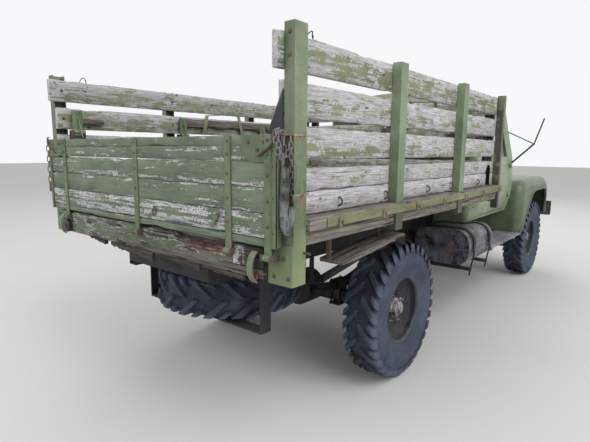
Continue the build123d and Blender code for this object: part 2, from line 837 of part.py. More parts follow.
with BuildPart() as rope_rails:
    for side in (-1, 1):
        rail_face = ledge_reach + rope_rail_gauge
        block(rope_rail_x, span(side * ledge_reach, side * rail_face), rope_rail_z)
        for i in range(cleat_count):
            x = rope_rail_x[0] + cleat_inset + i * cleat_pitch
            cleat_y = span(side * rail_face, side * (rail_face + cleat_size / 2))
            block((x - cleat_size / 2, x + cleat_size / 2), cleat_y, cleat_z)
save(rope_rails.part, "rope_rails")


def post(x, side, foot_z, top_z):
    """A folded steel post, open towards the boards, between a pair of x."""
    block(x, span(side * board_outer_y, side * post_outer_y), (foot_z, top_z))
    inner_x = (x[0] + post_gauge, x[1] - post_gauge)
    inner_y = span(side * board_outer_y, side * (post_outer_y - post_gauge))
    block(inner_x, inner_y, (foot_z, top_z), mode=Mode.SUBTRACT)


corner_plate_x = (bed_rear_x - plate_gauge, bed_rear_x)
corner_plate_inner_y = rear_beam_half_width + move_gap
head_post_x = (bed_front_x, bed_front_x + head_post_depth)
head_post_y = bed_half_width - post_width / 2
with BuildPart() as posts:
    for side in (-1, 1):
        post((post_xs[0], post_xs[0] + post_width), side, rear_post_foot_z, rear_post_top)
        for x in post_xs[1:]:
            post((x, x + post_width), side, middle_post_foot_z, post_top)
        post((front_post_x, bed_front_x), side, post_foot_z, post_top)
        plate_span = span(side * corner_plate_inner_y, side * post_outer_y)
        plate_z = (rear_post_foot_z, rear_post_foot_z + corner_plate_height)
        block(corner_plate_x, plate_span, plate_z)
        for z in collar_zs:
            collar_x = (post_xs[0] - collar_proud, post_xs[0] + post_width + collar_proud)
            collar_y = span(side * collar_tab_y[0], side * (post_outer_y + collar_proud))
            block(collar_x, collar_y, (z, z + collar_gauge))
        tab_y = span(side * collar_tab_y[0], side * collar_tab_y[1])
        block((collar_tab_x, post_xs[0]), tab_y, (collar_zs[-1], collar_zs[-1] + collar_gauge))
    for y in (-head_post_y, -rail_outer_y, rail_outer_y, head_post_y):
        block(head_post_x, (y - post_width / 2, y + post_width / 2), (bearer_bottom, post_top))
        inner_y = (y - post_width / 2 + post_gauge, y + post_width / 2 - post_gauge)
        inner_x = (head_post_x[0], head_post_x[1] - post_gauge)
        block(inner_x, inner_y, (bearer_bottom, post_top), mode=Mode.SUBTRACT)
save(posts.part, "posts")

# Side boards and the headboard take the same rows
row_z = []
height = ledge_top
for gap, row_height in board_rows:
    row_z.append((height + gap, height + gap + row_height))
    height += gap + row_height
headboard_x = (bed_front_x - board_gauge, bed_front_x)
with BuildPart() as body_boards:
    for row in row_z:
        rear_x = bed_rear_x - (top_board_overhang if row == row_z[-1] else 0)
        for side in (-1, 1):
            block((rear_x, bed_front_x), span(side * bed_half_width, side * board_outer_y), row)
        block(headboard_x, (-bed_half_width, bed_half_width), row)
    arch_spring_z = ledge_top + arch_height - arch_width / 2
    arch_span = (arch_x - arch_width / 2, arch_x + arch_width / 2)
    arch_y = (-board_outer_y, -bed_half_width)
    block(arch_span, arch_y, (ledge_top, arch_spring_z), Mode.SUBTRACT)
    arch_ends = [(arch_x, y, arch_spring_z) for y in arch_y]
    rod(arch_ends[0], arch_ends[1], arch_width / 2, Mode.SUBTRACT)
save(body_boards.part, "body_boards")

# Rear beam, the lugs and pins of the tailgate and benches, lamp guards and tail lamps
with BuildPart() as rear_beam:
    block(rear_beam_x, (-rear_beam_half_width, rear_beam_half_width), (rear_beam_bottom, rear_beam_top))
save(rear_beam.part, "rear_beam")
lug_z = (tailgate_pin_z - strap_eye_radius, tailgate_pin_z + strap_eye_radius)
with BuildPart() as hinge_lugs:
    for y in strap_ys:
        lug_front_x = rear_beam_x[0] if abs(y) < rear_beam_half_width else corner_plate_x[0]
        reach = strap_width / 2 + lug_play
        for low in (y - reach - lug_gauge, y + reach):
            lug_x = (tailgate_pin_x - strap_eye_radius, lug_front_x)
            block(lug_x, (low, low + lug_gauge), lug_z)
        pin_reach = reach + lug_gauge + pin_proud
        pin_ends = [(tailgate_pin_x, y + end * pin_reach, tailgate_pin_z) for end in (-1, 1)]
        rod(pin_ends[0], pin_ends[1], tailgate_pin_radius)
    for side in (-1, 1):
        for x in bench_arm_xs:
            reach = bench_arm_width / 2 + lug_play
            lug_y = span(side * (bench_hinge_y - bench_lug_reach), side * bed_half_width)
            for low in (x - reach - bench_lug_gauge, x + reach):
                block((low, low + bench_lug_gauge), lug_y, bench_lug_z)
            pin_reach = reach + bench_lug_gauge + pin_proud
            pin_ends = [(x + end * pin_reach, side * bench_hinge_y, bench_hinge_z) for end in (-1, 1)]
            rod(pin_ends[0], pin_ends[1], bench_pin_radius)
save(hinge_lugs.part, "hinge_lugs")
with BuildPart() as lamp_guards:
    for side in (-1, 1):
        middle = (guard_reach_x, sum(guard_z) / 2)
        inner_middle = (middle[0] + guard_gauge, middle[1])
        inner_z = (guard_z[0] + guard_gauge, guard_z[1] - guard_gauge)
        foot_x = rear_beam_x[0]
        with BuildSketch(Plane.XZ.offset(-side * guard_y - guard_width / 2)):
            with BuildLine():
                ThreePointArc((foot_x, guard_z[1]), middle, (foot_x, guard_z[0]))
                Line((foot_x, guard_z[0]), (foot_x, inner_z[0]))
                ThreePointArc((foot_x, inner_z[0]), inner_middle, (foot_x, inner_z[1]))
                Line((foot_x, inner_z[1]), (foot_x, guard_z[1]))
            make_face()
        extrude(amount=guard_width)
    lamp_foot = (rear_beam_x[0], tail_lamp_y, tail_lamp_z)
    rod(lamp_foot, (rear_beam_x[0] - tail_lamp_depth, tail_lamp_y, tail_lamp_z), tail_lamp_radius)
save(lamp_guards.part, "lamp_guards")

# Tailgate
tailgate_rear_x = tailgate_front_x - tailgate_gauge
tailgate_top = tailgate_bottom + sum(tailgate_rows) + tailgate_joint * (len(tailgate_rows) - 1)
with BuildPart() as tailgate_boards:
    low = tailgate_bottom
    for row_height in tailgate_rows:
        row = (low, low + row_height)
        block((tailgate_rear_x, tailgate_front_x), (-tailgate_half_width, tailgate_half_width), row)
        low += row_height + tailgate_joint
save(tailgate_boards.part, "tailgate_boards")
with BuildPart() as tailgate_straps:
    for y in strap_ys:
        strap_y = (y - strap_width / 2, y + strap_width / 2)
        strap_x = (tailgate_rear_x - strap_gauge, tailgate_rear_x)
        block(strap_x, strap_y, (tailgate_pin_z, tailgate_top))
        eye_ends = [(tailgate_pin_x, end_y, tailgate_pin_z) for end_y in strap_y]
        rod(eye_ends[0], eye_ends[1], strap_eye_radius)
        rod(eye_ends[0], eye_ends[1], tailgate_pin_radius + running_clearance, Mode.SUBTRACT)
    for side in (-1, 1):
        corner = [(side * (tailgate_half_width - y), tailgate_top - z) for y, z in gusset_outline]
        with BuildSketch(Plane.YZ.offset(tailgate_rear_x - gusset_gauge)) as gusset:
            with BuildLine():
                Polyline(*corner, close=True)
            make_face()
        extrude(gusset.sketch, amount=gusset_gauge)
save(tailgate_straps.part, "tailgate_straps")

# Chains on the upper collars: the left one ends in a latch, the right one in a canvas sleeve
chain_x = collar_tab_x + chain_link_width / 2
chain_y = sum(collar_tab_y) / 2
chain_top_z = collar_zs[-1] - seat_gap
chain_foot_z = {}
with BuildPart() as chains:
    for side, name in ((1, "left"), (-1, "right")):
        for i in range(chain_links[name]):
            z = chain_top_z - chain_link_length / 2 - i * chain_pitch
            plane = Plane.XZ if i % 2 else Plane.YZ
            middle = (chain_x, side * chain_y, z)
            with BuildSketch(Plane(origin=middle, x_dir=(0, 0, 1), z_dir=plane.z_dir)) as link:
                SlotOverall(chain_link_length, chain_link_width)
                slot_size = (chain_link_length - 2 * chain_wire, chain_link_width - 2 * chain_wire)
                SlotOverall(*slot_size, mode=Mode.SUBTRACT)
            extrude(link.sketch, amount=chain_wire / 2, both=True)
        chain_foot_z[name] = z - chain_link_length / 2
    latch_x, latch_y, latch_z = chain_latch
    with Locations((chain_x, chain_y, chain_foot_z["left"] + 1)):
        on_top = (Align.CENTER, Align.CENTER, Align.MAX)
        Box(latch_x, latch_y, latch_z, align=on_top)
save(chains.part, "chains")
with BuildPart() as canvas_sleeve:
    sleeve_top_z = chain_foot_z["right"] - seat_gap
    sleeve_outline = [(sleeve_leg_y[0], sleeve_top_z), *sleeve_bend]
    sleeve_outline += [(sleeve_tail_y[1], sleeve_tail_z), (sleeve_tail_y[0], sleeve_tail_z)]
    sleeve_outline += [*sleeve_crotch, (sleeve_leg_y[1], sleeve_top_z)]
    with BuildSketch(Plane.YZ.offset(chain_x - sleeve_gauge / 2)) as sleeve:
        with BuildLine():
            Polyline(*[(-y, z) for y, z in sleeve_outline], close=True)
        make_face()
    extrude(sleeve.sketch, amount=sleeve_gauge)
save(canvas_sleeve.part, "canvas_sleeve")

# Rope hooks: half rings that stand out of the lowest boards
with BuildPart() as rope_hooks:
    for side in (-1, 1):
        face_y = side * board_outer_y
        for x in rope_hook_xs:
            foot = (x, face_y, rope_hook_z + rope_hook_reach)
            with BuildSketch(Plane(origin=foot, x_dir=(1, 0, 0), z_dir=(0, 1, 0))) as wire:
                Circle(rope_hook_radius)
            pivot = Axis((x, face_y, rope_hook_z), (-side, 0, 0))
            revolve(wire.sketch, axis=pivot, revolution_arc=180)
save(rope_hooks.part, "rope_hooks")

# Folding benches, standing against the side boards
for side, name in ((1, "left"), (-1, "right")):
    hinge_y = side * bench_hinge_y
    board_back_y = hinge_y + side * bench_eye_radius
    stay_y = board_back_y - side * bench_stay_gauge / 2
    with BuildPart() as bench:
        for rear_x, front_x, low, width in bench_boards:
            board_y = span(board_back_y, board_back_y + side * bench_board_gauge)
            block((rear_x, front_x), board_y, (low, low + width))
        for x in bench_arm_xs:
            arm_x = (x - bench_arm_width / 2, x + bench_arm_width / 2)
            arm_y = span(board_back_y - side * bench_arm_gauge, board_back_y)
            block(arm_x, arm_y, (bench_hinge_z, bench_arm_top))
            eye_ends = [(end_x, hinge_y, bench_hinge_z) for end_x in arm_x]
            rod(eye_ends[0], eye_ends[1], bench_eye_radius)
            brace_head_y = board_back_y - side * bench_arm_gauge / 2
            brace_top = (x, brace_head_y, bench_hinge_z + bench_brace_rise)
            brace_y = hinge_y - side * bench_brace_foot[0]
            brace_foot = (x, brace_y, bench_hinge_z - bench_brace_foot[1])
            flat_bar(brace_top, brace_foot, bench_arm_gauge, bench_brace_gauge, (1, 0, 0))
            rod(eye_ends[0], eye_ends[1], bench_pin_radius + running_clearance, Mode.SUBTRACT)
        stay_heads = []
        for (foot_x, foot_z), (head_x, head_z) in bench_stays:
            head = (head_x, stay_y, head_z)
            flat_bar((foot_x, stay_y, foot_z), head, bench_stay_gauge, bench_stay_width, (0, 1, 0))
            stay_heads.append(head)
        rod(stay_heads[0], stay_heads[1], bench_tie_radius)
    save(bench.part, f"bench_{name}")

# Splash boards that hang ahead of the rear wheels' tail
with BuildPart() as splash_boards:
    for side in (-1, 1):
        foot_z, head_z = splash_z
        board = [
            (splash_x[0], foot_z),
            (splash_x[1], head_z),
            (splash_x[1], head_z + splash_gauge),
            (splash_x[0], foot_z + splash_gauge),
        ]
        prism_y(board, span(side * splash_y[0], side * splash_y[1]))
        hanger_y = span(side * splash_hanger_y[0], side * splash_hanger_y[1])
        for x in (splash_x[0], post_xs[1] + bearer_width / 2):
            hanger_x = (x, x + splash_hanger_gauge)
            block(hanger_x, hanger_y, (foot_z + splash_gauge, bearer_bottom))
save(splash_boards.part, "splash_boards")

# Spare wheel carrier: a hoop across, an arm along the truck, and a clamp with two studs
with BuildPart() as spare_carrier:
    hoop_x = (carrier_x - carrier_width / 2, carrier_x + carrier_width / 2)
    hoop_z = (carrier_bottom, carrier_bottom + carrier_gauge)
    block(hoop_x, (-carrier_half_width, carrier_half_width), hoop_z)
    for side in (-1, 1):
        leg_y = span(side * (carrier_half_width - carrier_gauge), side * carrier_half_width)
        block(hoop_x, leg_y, (carrier_bottom, bearer_bottom))
    arm_front_x = cross_member_xs[1] + carrier_gauge / 2
    block((hoop_x[1], arm_front_x), (-carrier_width / 2, carrier_width / 2), hoop_z)
    upright_x = (arm_front_x - carrier_gauge, arm_front_x)
    block(upright_x, (-carrier_width / 2, carrier_width / 2), (carrier_bottom, member_z[0]))
    disc_face_z = spare_z - disc_outset + disc_dish - rim_gauge
    clamp_z = (disc_face_z - carrier_gauge, disc_face_z)
    clamp_x = (spare_x - carrier_clamp_half, spare_x + carrier_clamp_half)
    block(clamp_x, (-carrier_width / 2, carrier_width / 2), clamp_z)
    stud_foot_z = carrier_bottom - carrier_stud_drop
    for x in (spare_x - carrier_stud_reach, spare_x + carrier_stud_reach):
        rod((x, 0, stud_foot_z), (x, 0, clamp_z[1]), carrier_stud_radius)
save(spare_carrier.part, "spare_carrier")


# Fuel tanks, one each side, with a seam flange, straps and hook bolts
def tank_section(x, grow):
    """The tank's rounded outline across the truck, right side, in its plane at x."""
    with BuildSketch(Plane.YZ.offset(x)) as section:
        with Locations((-(tank_y[0] + tank_y[1]) / 2, (tank_z[0] + tank_z[1]) / 2)):
            width = tank_y[1] - tank_y[0] + 2 * grow
            height = tank_z[1] - tank_z[0] + 2 * grow
            RectangleRounded(width, height, tank_round + grow)
    return section.sketch


seam_y = (-tank_y[1] - tank_seam_reach, -tank_y[0] + tank_seam_reach)
seam_z = (tank_seam_z - tank_seam_half, tank_seam_z + tank_seam_half)
with BuildPart() as fuel_tanks:
    extrude(tank_section(tank_x[0], 0), amount=tank_x[1] - tank_x[0])
    seam_x = (tank_x[0] - tank_seam_reach, tank_x[1] + tank_seam_reach)
    block(seam_x, seam_y, seam_z)
    mirror(about=Plane.XZ)
save(fuel_tanks.part, "fuel_tanks")
with BuildPart() as tank_straps:
    strap_grow = tank_seam_reach + tank_strap_gauge
    for x in tank_strap_xs:
        low = x - tank_strap_width / 2
        extrude(tank_section(low, strap_grow), amount=tank_strap_width)
        under_y = (-tank_y[1] - strap_grow, -tank_y[0] + strap_grow)
        under_z = (tank_z[0] - strap_grow, tank_seam_z - tank_strap_foot)
        block((low, low + tank_strap_width), under_y, under_z, mode=Mode.SUBTRACT)
        extrude(tank_section(low, 0), amount=tank_strap_width, mode=Mode.SUBTRACT)
        block((low, low + tank_strap_width), seam_y, seam_z, mode=Mode.SUBTRACT)
    for x in tank_strap_xs:
        bar_x = (x - tank_strap_width / 2, x + tank_strap_width / 2)
        block(bar_x, (-tank_y[1] + tank_bar_inset, -rail_outer_y), tank_bar_z)
        plate_z = (tank_bar_z[0], rail_z[1] - rail_plate_drop)
        block(bar_x, (-rail_outer_y - plate_gauge, -rail_outer_y), plate_z)
        arm_foot = tank_seam_z - tank_strap_foot
        block(bar_x, (-tank_y[0], -rail_outer_y), (arm_foot, arm_foot + tank_arm_gauge))
        block(bar_x, (-tank_y[1] + tank_round, -tank_y[0] - tank_round), (tank_bar_z[1], tank_z[0]))
        bolt_top = (x, -tank_y[1] - strap_grow, tank_seam_z - tank_strap_foot + clamp_bolt_radius)
        bolt_foot = (x, -tank_y[1] + hook_bolt_inset, tank_bar_z[0] - hook_bolt_drop)
        rod(bolt_top, bolt_foot, clamp_bolt_radius)
    mirror(about=Plane.XZ)
save(tank_straps.part, "tank_straps")

# Running boards with ribs, and their brackets on the rails
with BuildPart() as step_boards:
    for side in (-1, 1):
        block(step_x, span(side * step_y[0], side * step_y[1]), (step_z[0], step_z[1] - step_rib_height))
        rib_pitch = (step_y[1] - step_y[0]) / step_rib_count
        for i in range(step_rib_count):
            near = step_y[0] + (i + 0.25) * rib_pitch
            rib_y = span(side * near, side * (near + rib_pitch / 2))
            block(step_x, rib_y, (step_z[1] - step_rib_height, step_z[1]))
    for side in (-1, 1):
        for x in step_bracket_xs:
            bracket_x = (x - step_bracket_width / 2, x + step_bracket_width / 2)
            bracket_y = span(side * rail_outer_y, side * (step_y[1] - step_bracket_inset))
            bracket_foot_z = step_z[0] - step_bracket_depth
            block(bracket_x, bracket_y, (bracket_foot_z, step_z[0]))
            plate_span = span(side * rail_outer_y, side * (rail_outer_y + plate_gauge))
            block(bracket_x, plate_span, (bracket_foot_z, rail_z[1] - rail_plate_drop))
save(step_boards.part, "step_boards")

# Cab: the same outlines, set in by a wall, give the skin, the hollow and the glass
screen_lean = (screen_head_x - screen_foot_x) / (screen_head_z - screen_foot_z)
roof_peak_z = cab_roof_z + cab_crown


def cab_form(inset):
    """The cab's closed form from its side, front and plan outlines, all set in by inset."""
    rear_x = cab_rear_x + inset
    with BuildPart() as form:
        with BuildSketch(Plane.XZ.offset(-cab_half_width)):
            with BuildLine():
                Polyline(
                    (cab_rear_x, cab_sill_z),
                    (footwell_front_x, cab_sill_z),
                    (footwell_front_x, cowl_under_z),
                    (cowl_front_x, cowl_under_z),
                    (cowl_front_x, cowl_z),
                    (screen_foot_x, screen_foot_z),
                    (screen_head_x, screen_head_z),
                    (screen_head_x - roof_front_run, roof_peak_z),
                    (cab_rear_x + roof_rear_run, roof_peak_z),
                    (cab_rear_x, roof_peak_z - roof_rear_drop),
                    close=True,
                )
            side_face = make_face()
            if inset:
                offset(side_face, amount=-inset, kind=Kind.INTERSECTION, mode=Mode.REPLACE)
        extrude(amount=2 * cab_half_width)
        with BuildSketch(Plane.YZ.offset(rear_x)):
            with BuildLine():
                Line((-cab_sill_half_width, cab_sill_z), (cab_sill_half_width, cab_sill_z))
                roof_edge_y = cab_roof_half_width - eave_run
                roof_edge_z = cab_roof_z + eave_rise
                for side in (-1, 1):
                    sill = (side * cab_sill_half_width, cab_sill_z)
                    belly = (side * (cab_half_width - sill_middle[0]), cab_sill_z + sill_middle[1])
                    belt = (side * cab_half_width, cab_belt_z)
                    eave = (side * cab_roof_half_width, cab_roof_z - eave_drop)
                    curve = (side * (cab_roof_half_width - eave_middle[0]), cab_roof_z - eave_middle[1])
                    ThreePointArc(sill, belly, belt)
                    Line(belt, eave)
                    ThreePointArc(eave, curve, (side * roof_edge_y, roof_edge_z))
                roof_edge = (roof_edge_y, roof_edge_z)
                ThreePointArc((-roof_edge_y, roof_edge_z), (0, roof_peak_z), roof_edge)
            front_face = make_face()
            if inset:
                offset(front_face, amount=-inset, kind=Kind.INTERSECTION, mode=Mode.REPLACE)
        extrude(amount=cowl_front_x - rear_x, mode=Mode.INTERSECT)
        with BuildSketch(Plane.XY.offset(cab_sill_z)):
            with BuildLine():
                Polyline(
                    (cab_rear_x, -cab_half_width),
                    (cowl_taper_x, -cab_half_width),
                    (cowl_front_x, -cowl_half_width),
                    (cowl_front_x, cowl_half_width),
                    (cowl_taper_x, cab_half_width),
                    (cab_rear_x, cab_half_width),
                    close=True,
                )
            plan_face = make_face()
            fillet(plan_face.vertices().group_by(Axis.X)[0], cab_corner_round)
            if inset:
                offset(amount=-inset, kind=Kind.INTERSECTION, mode=Mode.REPLACE)
        extrude(amount=roof_peak_z - cab_sill_z, mode=Mode.INTERSECT)
    return form.part


def door_front_x(z, grow):
    """The x of the door's front edge at a height: upright, then along the screen post."""
    bend_z = screen_foot_z - 10
    return door_x[1] + grow + screen_lean * max(0, z - bend_z)


def door_outline(grow, foot_z, top_z):
    """The door's outline of x and z between two heights, grown at its front and rear edges."""
    bend_z = max(foot_z + 1, screen_foot_z - 10)
    return [
        (door_x[0] - grow, foot_z),
        (door_front_x(foot_z, grow), foot_z),
        (door_front_x(bend_z, grow), bend_z),
        (door_front_x(top_z, grow), top_z),
        (door_x[0] - grow, top_z),
    ]


skin = cab_form(0)
hollow = cab_form(cab_wall)
glass_outer = cab_form(glass_inset)
glass_inner = cab_form(glass_inset + glass_gauge)
door_cutter_inner = cab_form(cab_wall + door_gap)
window_foot_z = screen_foot_z + window_foot_rise
window_top_z = door_z[1] - window_head_drop


# The windscreen and rear window, run along the truck through the cab's ends
# half width, z, x
glazing = (
    (screen_half_width, screen_z, ((cab_rear_x + cowl_front_x) / 2, cowl_front_x)),
    (rear_window_half_width, rear_window_z, (cab_rear_x - cab_wall, (cab_rear_x + cowl_front_x) / 2)),
)
with BuildPart() as glazing_cutter:
    for half_width, z, x in glazing:
        with BuildSketch(Plane.YZ.offset(x[0])):
            with Locations((0, sum(z) / 2)):
                RectangleRounded(2 * half_width, z[1] - z[0], glass_corner)
        extrude(amount=x[1] - x[0])

with BuildPart() as door_cutter:
    grown = door_outline(door_gap, door_z[0] - door_gap, door_z[1] + door_gap)
    for side in (-1, 1):
        prism_y(grown, span(side * cab_tunnel_half_width, side * (cab_half_width + cab_wall)))
    add(door_cutter_inner, mode=Mode.SUBTRACT)

hinge_x = door_x[1] + door_gap / 2
hinge_y = cab_half_width + move_gap


def hinge_half(side, upper):
    """Half a door hinge: its barrel and the leaf that carries it, on the door if upper."""
    for z in hinge_zs:
        barrel_z = (z + seat_gap, z + hinge_length / 2) if upper else (z - hinge_length / 2, z)
        leaf_x = span(hinge_x, hinge_x - hinge_leaf if upper else hinge_x + hinge_leaf)
        leaf_face_y = hinge_y + pin_proud
        barrel_y = side * hinge_y
        rod((hinge_x, barrel_y, barrel_z[0]), (hinge_x, barrel_y, barrel_z[1]), hinge_radius)
        block(leaf_x, span(side * (leaf_face_y - hinge_leaf_depth), side * leaf_face_y), barrel_z)


def bonnet_hinge_leaf(side, forward):
    """Half a bonnet hinge: barrel and leaf, on the bonnet if forward, else on the cowl."""
    axis = (bonnet_hinge_x, bonnet_hinge_z)
    near = bonnet_hinge_y + seat_gap if forward else bonnet_hinge_y - bonnet_hinge_half
    far = bonnet_hinge_y + bonnet_hinge_half if forward else bonnet_hinge_y
    barrel_y = span(side * near, side * far)
    leaf_x = span(axis[0], axis[0] + bonnet_leaf if forward else axis[0] - bonnet_leaf)
    depth = bonnet_leaf_depth["bonnet" if forward else "cowl"]
    leaf_z = (axis[1] + pin_proud - depth, axis[1] + pin_proud)
    rod((axis[0], barrel_y[0], axis[1]), (axis[0], barrel_y[1], axis[1]), bonnet_hinge_radius)
    block(leaf_x, barrel_y, leaf_z)


floor_face_z = cab_floor_z + cab_floor_gauge
under_y = cab_sill_half_width - cab_wall
with BuildPart() as cavity:
    add(hollow)
    below = (cab_sill_z, floor_face_z)
    block((cab_rear_x, cowl_front_x), (-cab_half_width, cab_half_width), below, mode=Mode.SUBTRACT)
with BuildPart() as cab_shell:
    add(skin)
    add(cavity.part, mode=Mode.SUBTRACT)
    under_x = (cab_rear_x + cab_wall, footwell_front_x - cab_wall)
    block(under_x, (-under_y, under_y), (cab_sill_z, cab_floor_z), mode=Mode.SUBTRACT)
    tunnel_y = (-cab_tunnel_half_width, cab_tunnel_half_width)
    block((cab_rear_x, footwell_front_x), tunnel_y, (cab_sill_z, cab_floor_z), mode=Mode.SUBTRACT)
    add(door_cutter.part, mode=Mode.SUBTRACT)
    add(glazing_cutter.part, mode=Mode.SUBTRACT)
    for side in (-1, 1):
        hinge_half(side, False)
        bonnet_hinge_leaf(side, False)
        for x in (cab_rear_x + cab_mount_inset, footwell_front_x - cab_mount_inset):
            rod((x, side * spring_y, rail_z[1]), (x, side * spring_y, cab_floor_z), rail_width / 2)
    block(seat_x, (-seat_half_width, seat_half_width), (floor_face_z, seat_box_top))
save(cab_shell.part, "cab_shell")
with BuildPart() as cab_glass:
    add(glass_outer)
    add(glass_inner, mode=Mode.SUBTRACT)
    add(glazing_cutter.part, mode=Mode.INTERSECT)
save(cab_glass.part, "cab_glass")

window = door_outline(-door_frame, window_foot_z, window_top_z)
for side, name in ((1, "left"), (-1, "right")):
    door_y = span(side * cab_tunnel_half_width, side * (cab_half_width + cab_wall))
    with BuildPart() as door:
        add(skin)
        add(hollow, mode=Mode.SUBTRACT)
        prism_y(door_outline(0, door_z[0], door_z[1]), door_y, Mode.INTERSECT)
        prism_y(window, door_y, Mode.SUBTRACT)
        hinge_half(side, True)
        handle_end_x = handle_x[0] + handle_height
        handle_y = (cab_half_width + handle_reach - handle_gauge, cab_half_width + handle_reach)
        grip_z = (handle_z - handle_height / 2, handle_z + handle_height / 2)
        shank_y = span(side * (cab_half_width - cab_wall / 2), side * handle_y[1])
        block((handle_x[0], handle_end_x), shank_y, grip_z)
        block(handle_x, span(side * handle_y[0], side * handle_y[1]), grip_z)
    save(door.part, f"door_{name}")
    with BuildPart() as door_glass:
        add(glass_outer)
        add(glass_inner, mode=Mode.SUBTRACT)
        prism_y(window, door_y, Mode.INTERSECT)
    save(door_glass.part, f"door_glass_{name}")

# Inside the cab: dash, wheel, and the bench seat's cushion and back
with BuildPart() as dashboard:
    firewall_x = footwell_front_x - cab_wall
    dash_lip = (firewall_x - dash_rear_x) / 2
    dash = [
        (dash_rear_x, dash_z[0] + cab_wall),
        (firewall_x, dash_z[0]),
        (firewall_x, dash_z[1]),
        (firewall_x - dash_lip, dash_z[1] - pin_proud),
        (dash_rear_x, dash_z[1] - dash_lip),
    ]
    prism_y(dash, (-dash_half_width, dash_half_width))
save(dashboard.part, "dashboard")
column_foot = Vector(column_foot_x, steering_y, column_foot_z)
column_head = Vector(column_head_x, steering_y, column_head_z)
with BuildPart() as steering_wheel:
    rod(column_foot, column_head, column_radius)
    add(dashboard.part, mode=Mode.SUBTRACT)
    rim = Plane(origin=column_head, x_dir=(0, 1, 0), z_dir=column_head - column_foot)
    with BuildSketch(rim):
        RegularPolygon(radius=steering_wheel_radius, side_count=24)
        RegularPolygon(radius=steering_wheel_radius - steering_grip, side_count=24, mode=Mode.SUBTRACT)
        Rectangle(2 * steering_wheel_radius - steering_grip, steering_grip)
        with Locations((0, -steering_wheel_radius / 2)):
            Rectangle(steering_grip, steering_wheel_radius - steering_grip)
    extrude(amount=column_radius)
save(steering_wheel.part, "steering_wheel")
with BuildPart() as seat_cushion:
    cushion_x = (seat_x[0] - seat_overhang[0], seat_x[1] + seat_overhang[1])
    cushion_z = (seat_box_top + seat_gap, seat_top)
    block(cushion_x, (-seat_half_width, seat_half_width), cushion_z)
    fillet(seat_cushion.edges().group_by(Axis.Z)[-1], seat_edge_round)
save(seat_cushion.part, "seat_cushion")
with BuildPart() as seat_back:
    inner_x = cab_rear_x + cab_wall + seat_gap
    back = [
        (inner_x + 40, seat_back_z[0]),
        (inner_x + 160, seat_back_z[0]),
        (inner_x + 110, seat_back_z[1]),
        (inner_x, seat_back_z[1]),
    ]
    prism_y(back, (-seat_half_width, seat_half_width))
save(seat_back.part, "seat_back")


# Front wings
def wing_body(side, inset, drop):
    """A wing's closed form, set in by inset, its foot lowered by drop."""
    y = span(side * (wing_inner_y + inset), side * (wing_outer_y - inset))
    with BuildPart() as body:
        with BuildSketch(Plane.XZ.offset(-y[1])):
            with BuildLine():
                Polyline(
                    (wing_rear_x + inset, step_z[1] - drop),
                    (wing_rear_x + inset, wing_top_z - inset),
                    (wing_front_x - inset, wing_top_z - inset),
                    (wing_front_x - inset, wing_nose_z - drop),
                    close=True,
                )
            make_face()
        extrude(amount=y[1] - y[0])
        crown = body.edges().filter_by(Axis.Y).group_by(Axis.Z)[-1].sort_by(Axis.X)
        fillet(crown[0], wing_rear_round - inset)
        crown = body.edges().filter_by(Axis.Y).group_by(Axis.Z)[-1].sort_by(Axis.X)
        fillet(crown[-1], wing_front_round - inset)
        outer = body.faces().sort_by(Axis.Y)[-1 if side > 0 else 0]
        fillet(outer.edges().sort_by(Axis.Z)[1:], wing_edge_round - inset)
    return body.part


def arch_face(y, grow):
    """The wheel arch's outline in the plane at y, grown all round."""
    with BuildSketch(Plane.XZ.offset(-y)) as arch:
        with BuildLine():
            Polyline(*arch_outline, close=True)
        make_face()
        fillet(arch.vertices().group_by(Axis.Y)[-1].sort_by(Axis.X)[0], arch_rounds[0])
        fillet(arch.vertices().group_by(Axis.Y)[-1].sort_by(Axis.X)[-1], arch_rounds[1])
        if grow:
            offset(amount=grow)
    return arch.sketch


with BuildPart() as wings:
    for side in (-1, 1):
        add(wing_body(side, 0, 0))
    for side in (-1, 1):
        add(wing_body(side, wing_gauge, 60), mode=Mode.SUBTRACT)
        lip_face_y = wing_outer_y + arch_lip_proud
        lip_y = span(side * (wing_outer_y - wing_gauge), side * lip_face_y)
        with BuildPart(mode=Mode.PRIVATE) as arch_lip:
            extrude(arch_face(lip_y[1], arch_lip_width), amount=lip_y[1] - lip_y[0])
            side_outline = [
                (wing_rear_x, step_z[1]),
                (wing_rear_x, wing_top_z),
                (wing_front_x, wing_top_z),
                (wing_front_x, wing_nose_z),
            ]
            prism_y(side_outline, lip_y, Mode.INTERSECT)
        add(arch_lip.part)
        arch_cut_y = span(side * (wing_outer_y - wing_gauge - 1), side * (lip_face_y + 1))
        extrude(arch_face(arch_cut_y[1], 0), amount=arch_cut_y[1] - arch_cut_y[0], mode=Mode.SUBTRACT)
        apron_x = (wing_rear_x + wing_gauge, wing_front_x - wing_gauge)
        apron_y = span(side * (wing_inner_y - 1), side * (wing_inner_y + wing_gauge + 1))
        block(apron_x, apron_y, (0, rail_z[1] + plate_gauge), mode=Mode.SUBTRACT)
        foot_y = span(side * spring_y, side * (wing_inner_y + wing_gauge))
        block(wing_foot_x, foot_y, (rail_z[1], rail_z[1] + plate_gauge))
save(wings.part, "wings")


# Bonnet: a crowned shell, open below and at both ends
def bonnet_section(x, half_width, peak_z, inset):
    """The bonnet's outline across the truck at x, set in by inset."""
    half = half_width - inset
    foot_z = bonnet_skirt_z - inset
    shoulder_z = peak_z - bonnet_shoulder_drop
    with BuildSketch(Plane.YZ.offset(x)) as section:
        with BuildLine():
            Line((-half, foot_z), (half, foot_z))
            Line((half, foot_z), (half, shoulder_z))
            ThreePointArc((half, shoulder_z), (0, peak_z - inset), (-half, shoulder_z))
            Line((-half, shoulder_z), (-half, foot_z))
        make_face()
    return section.sketch


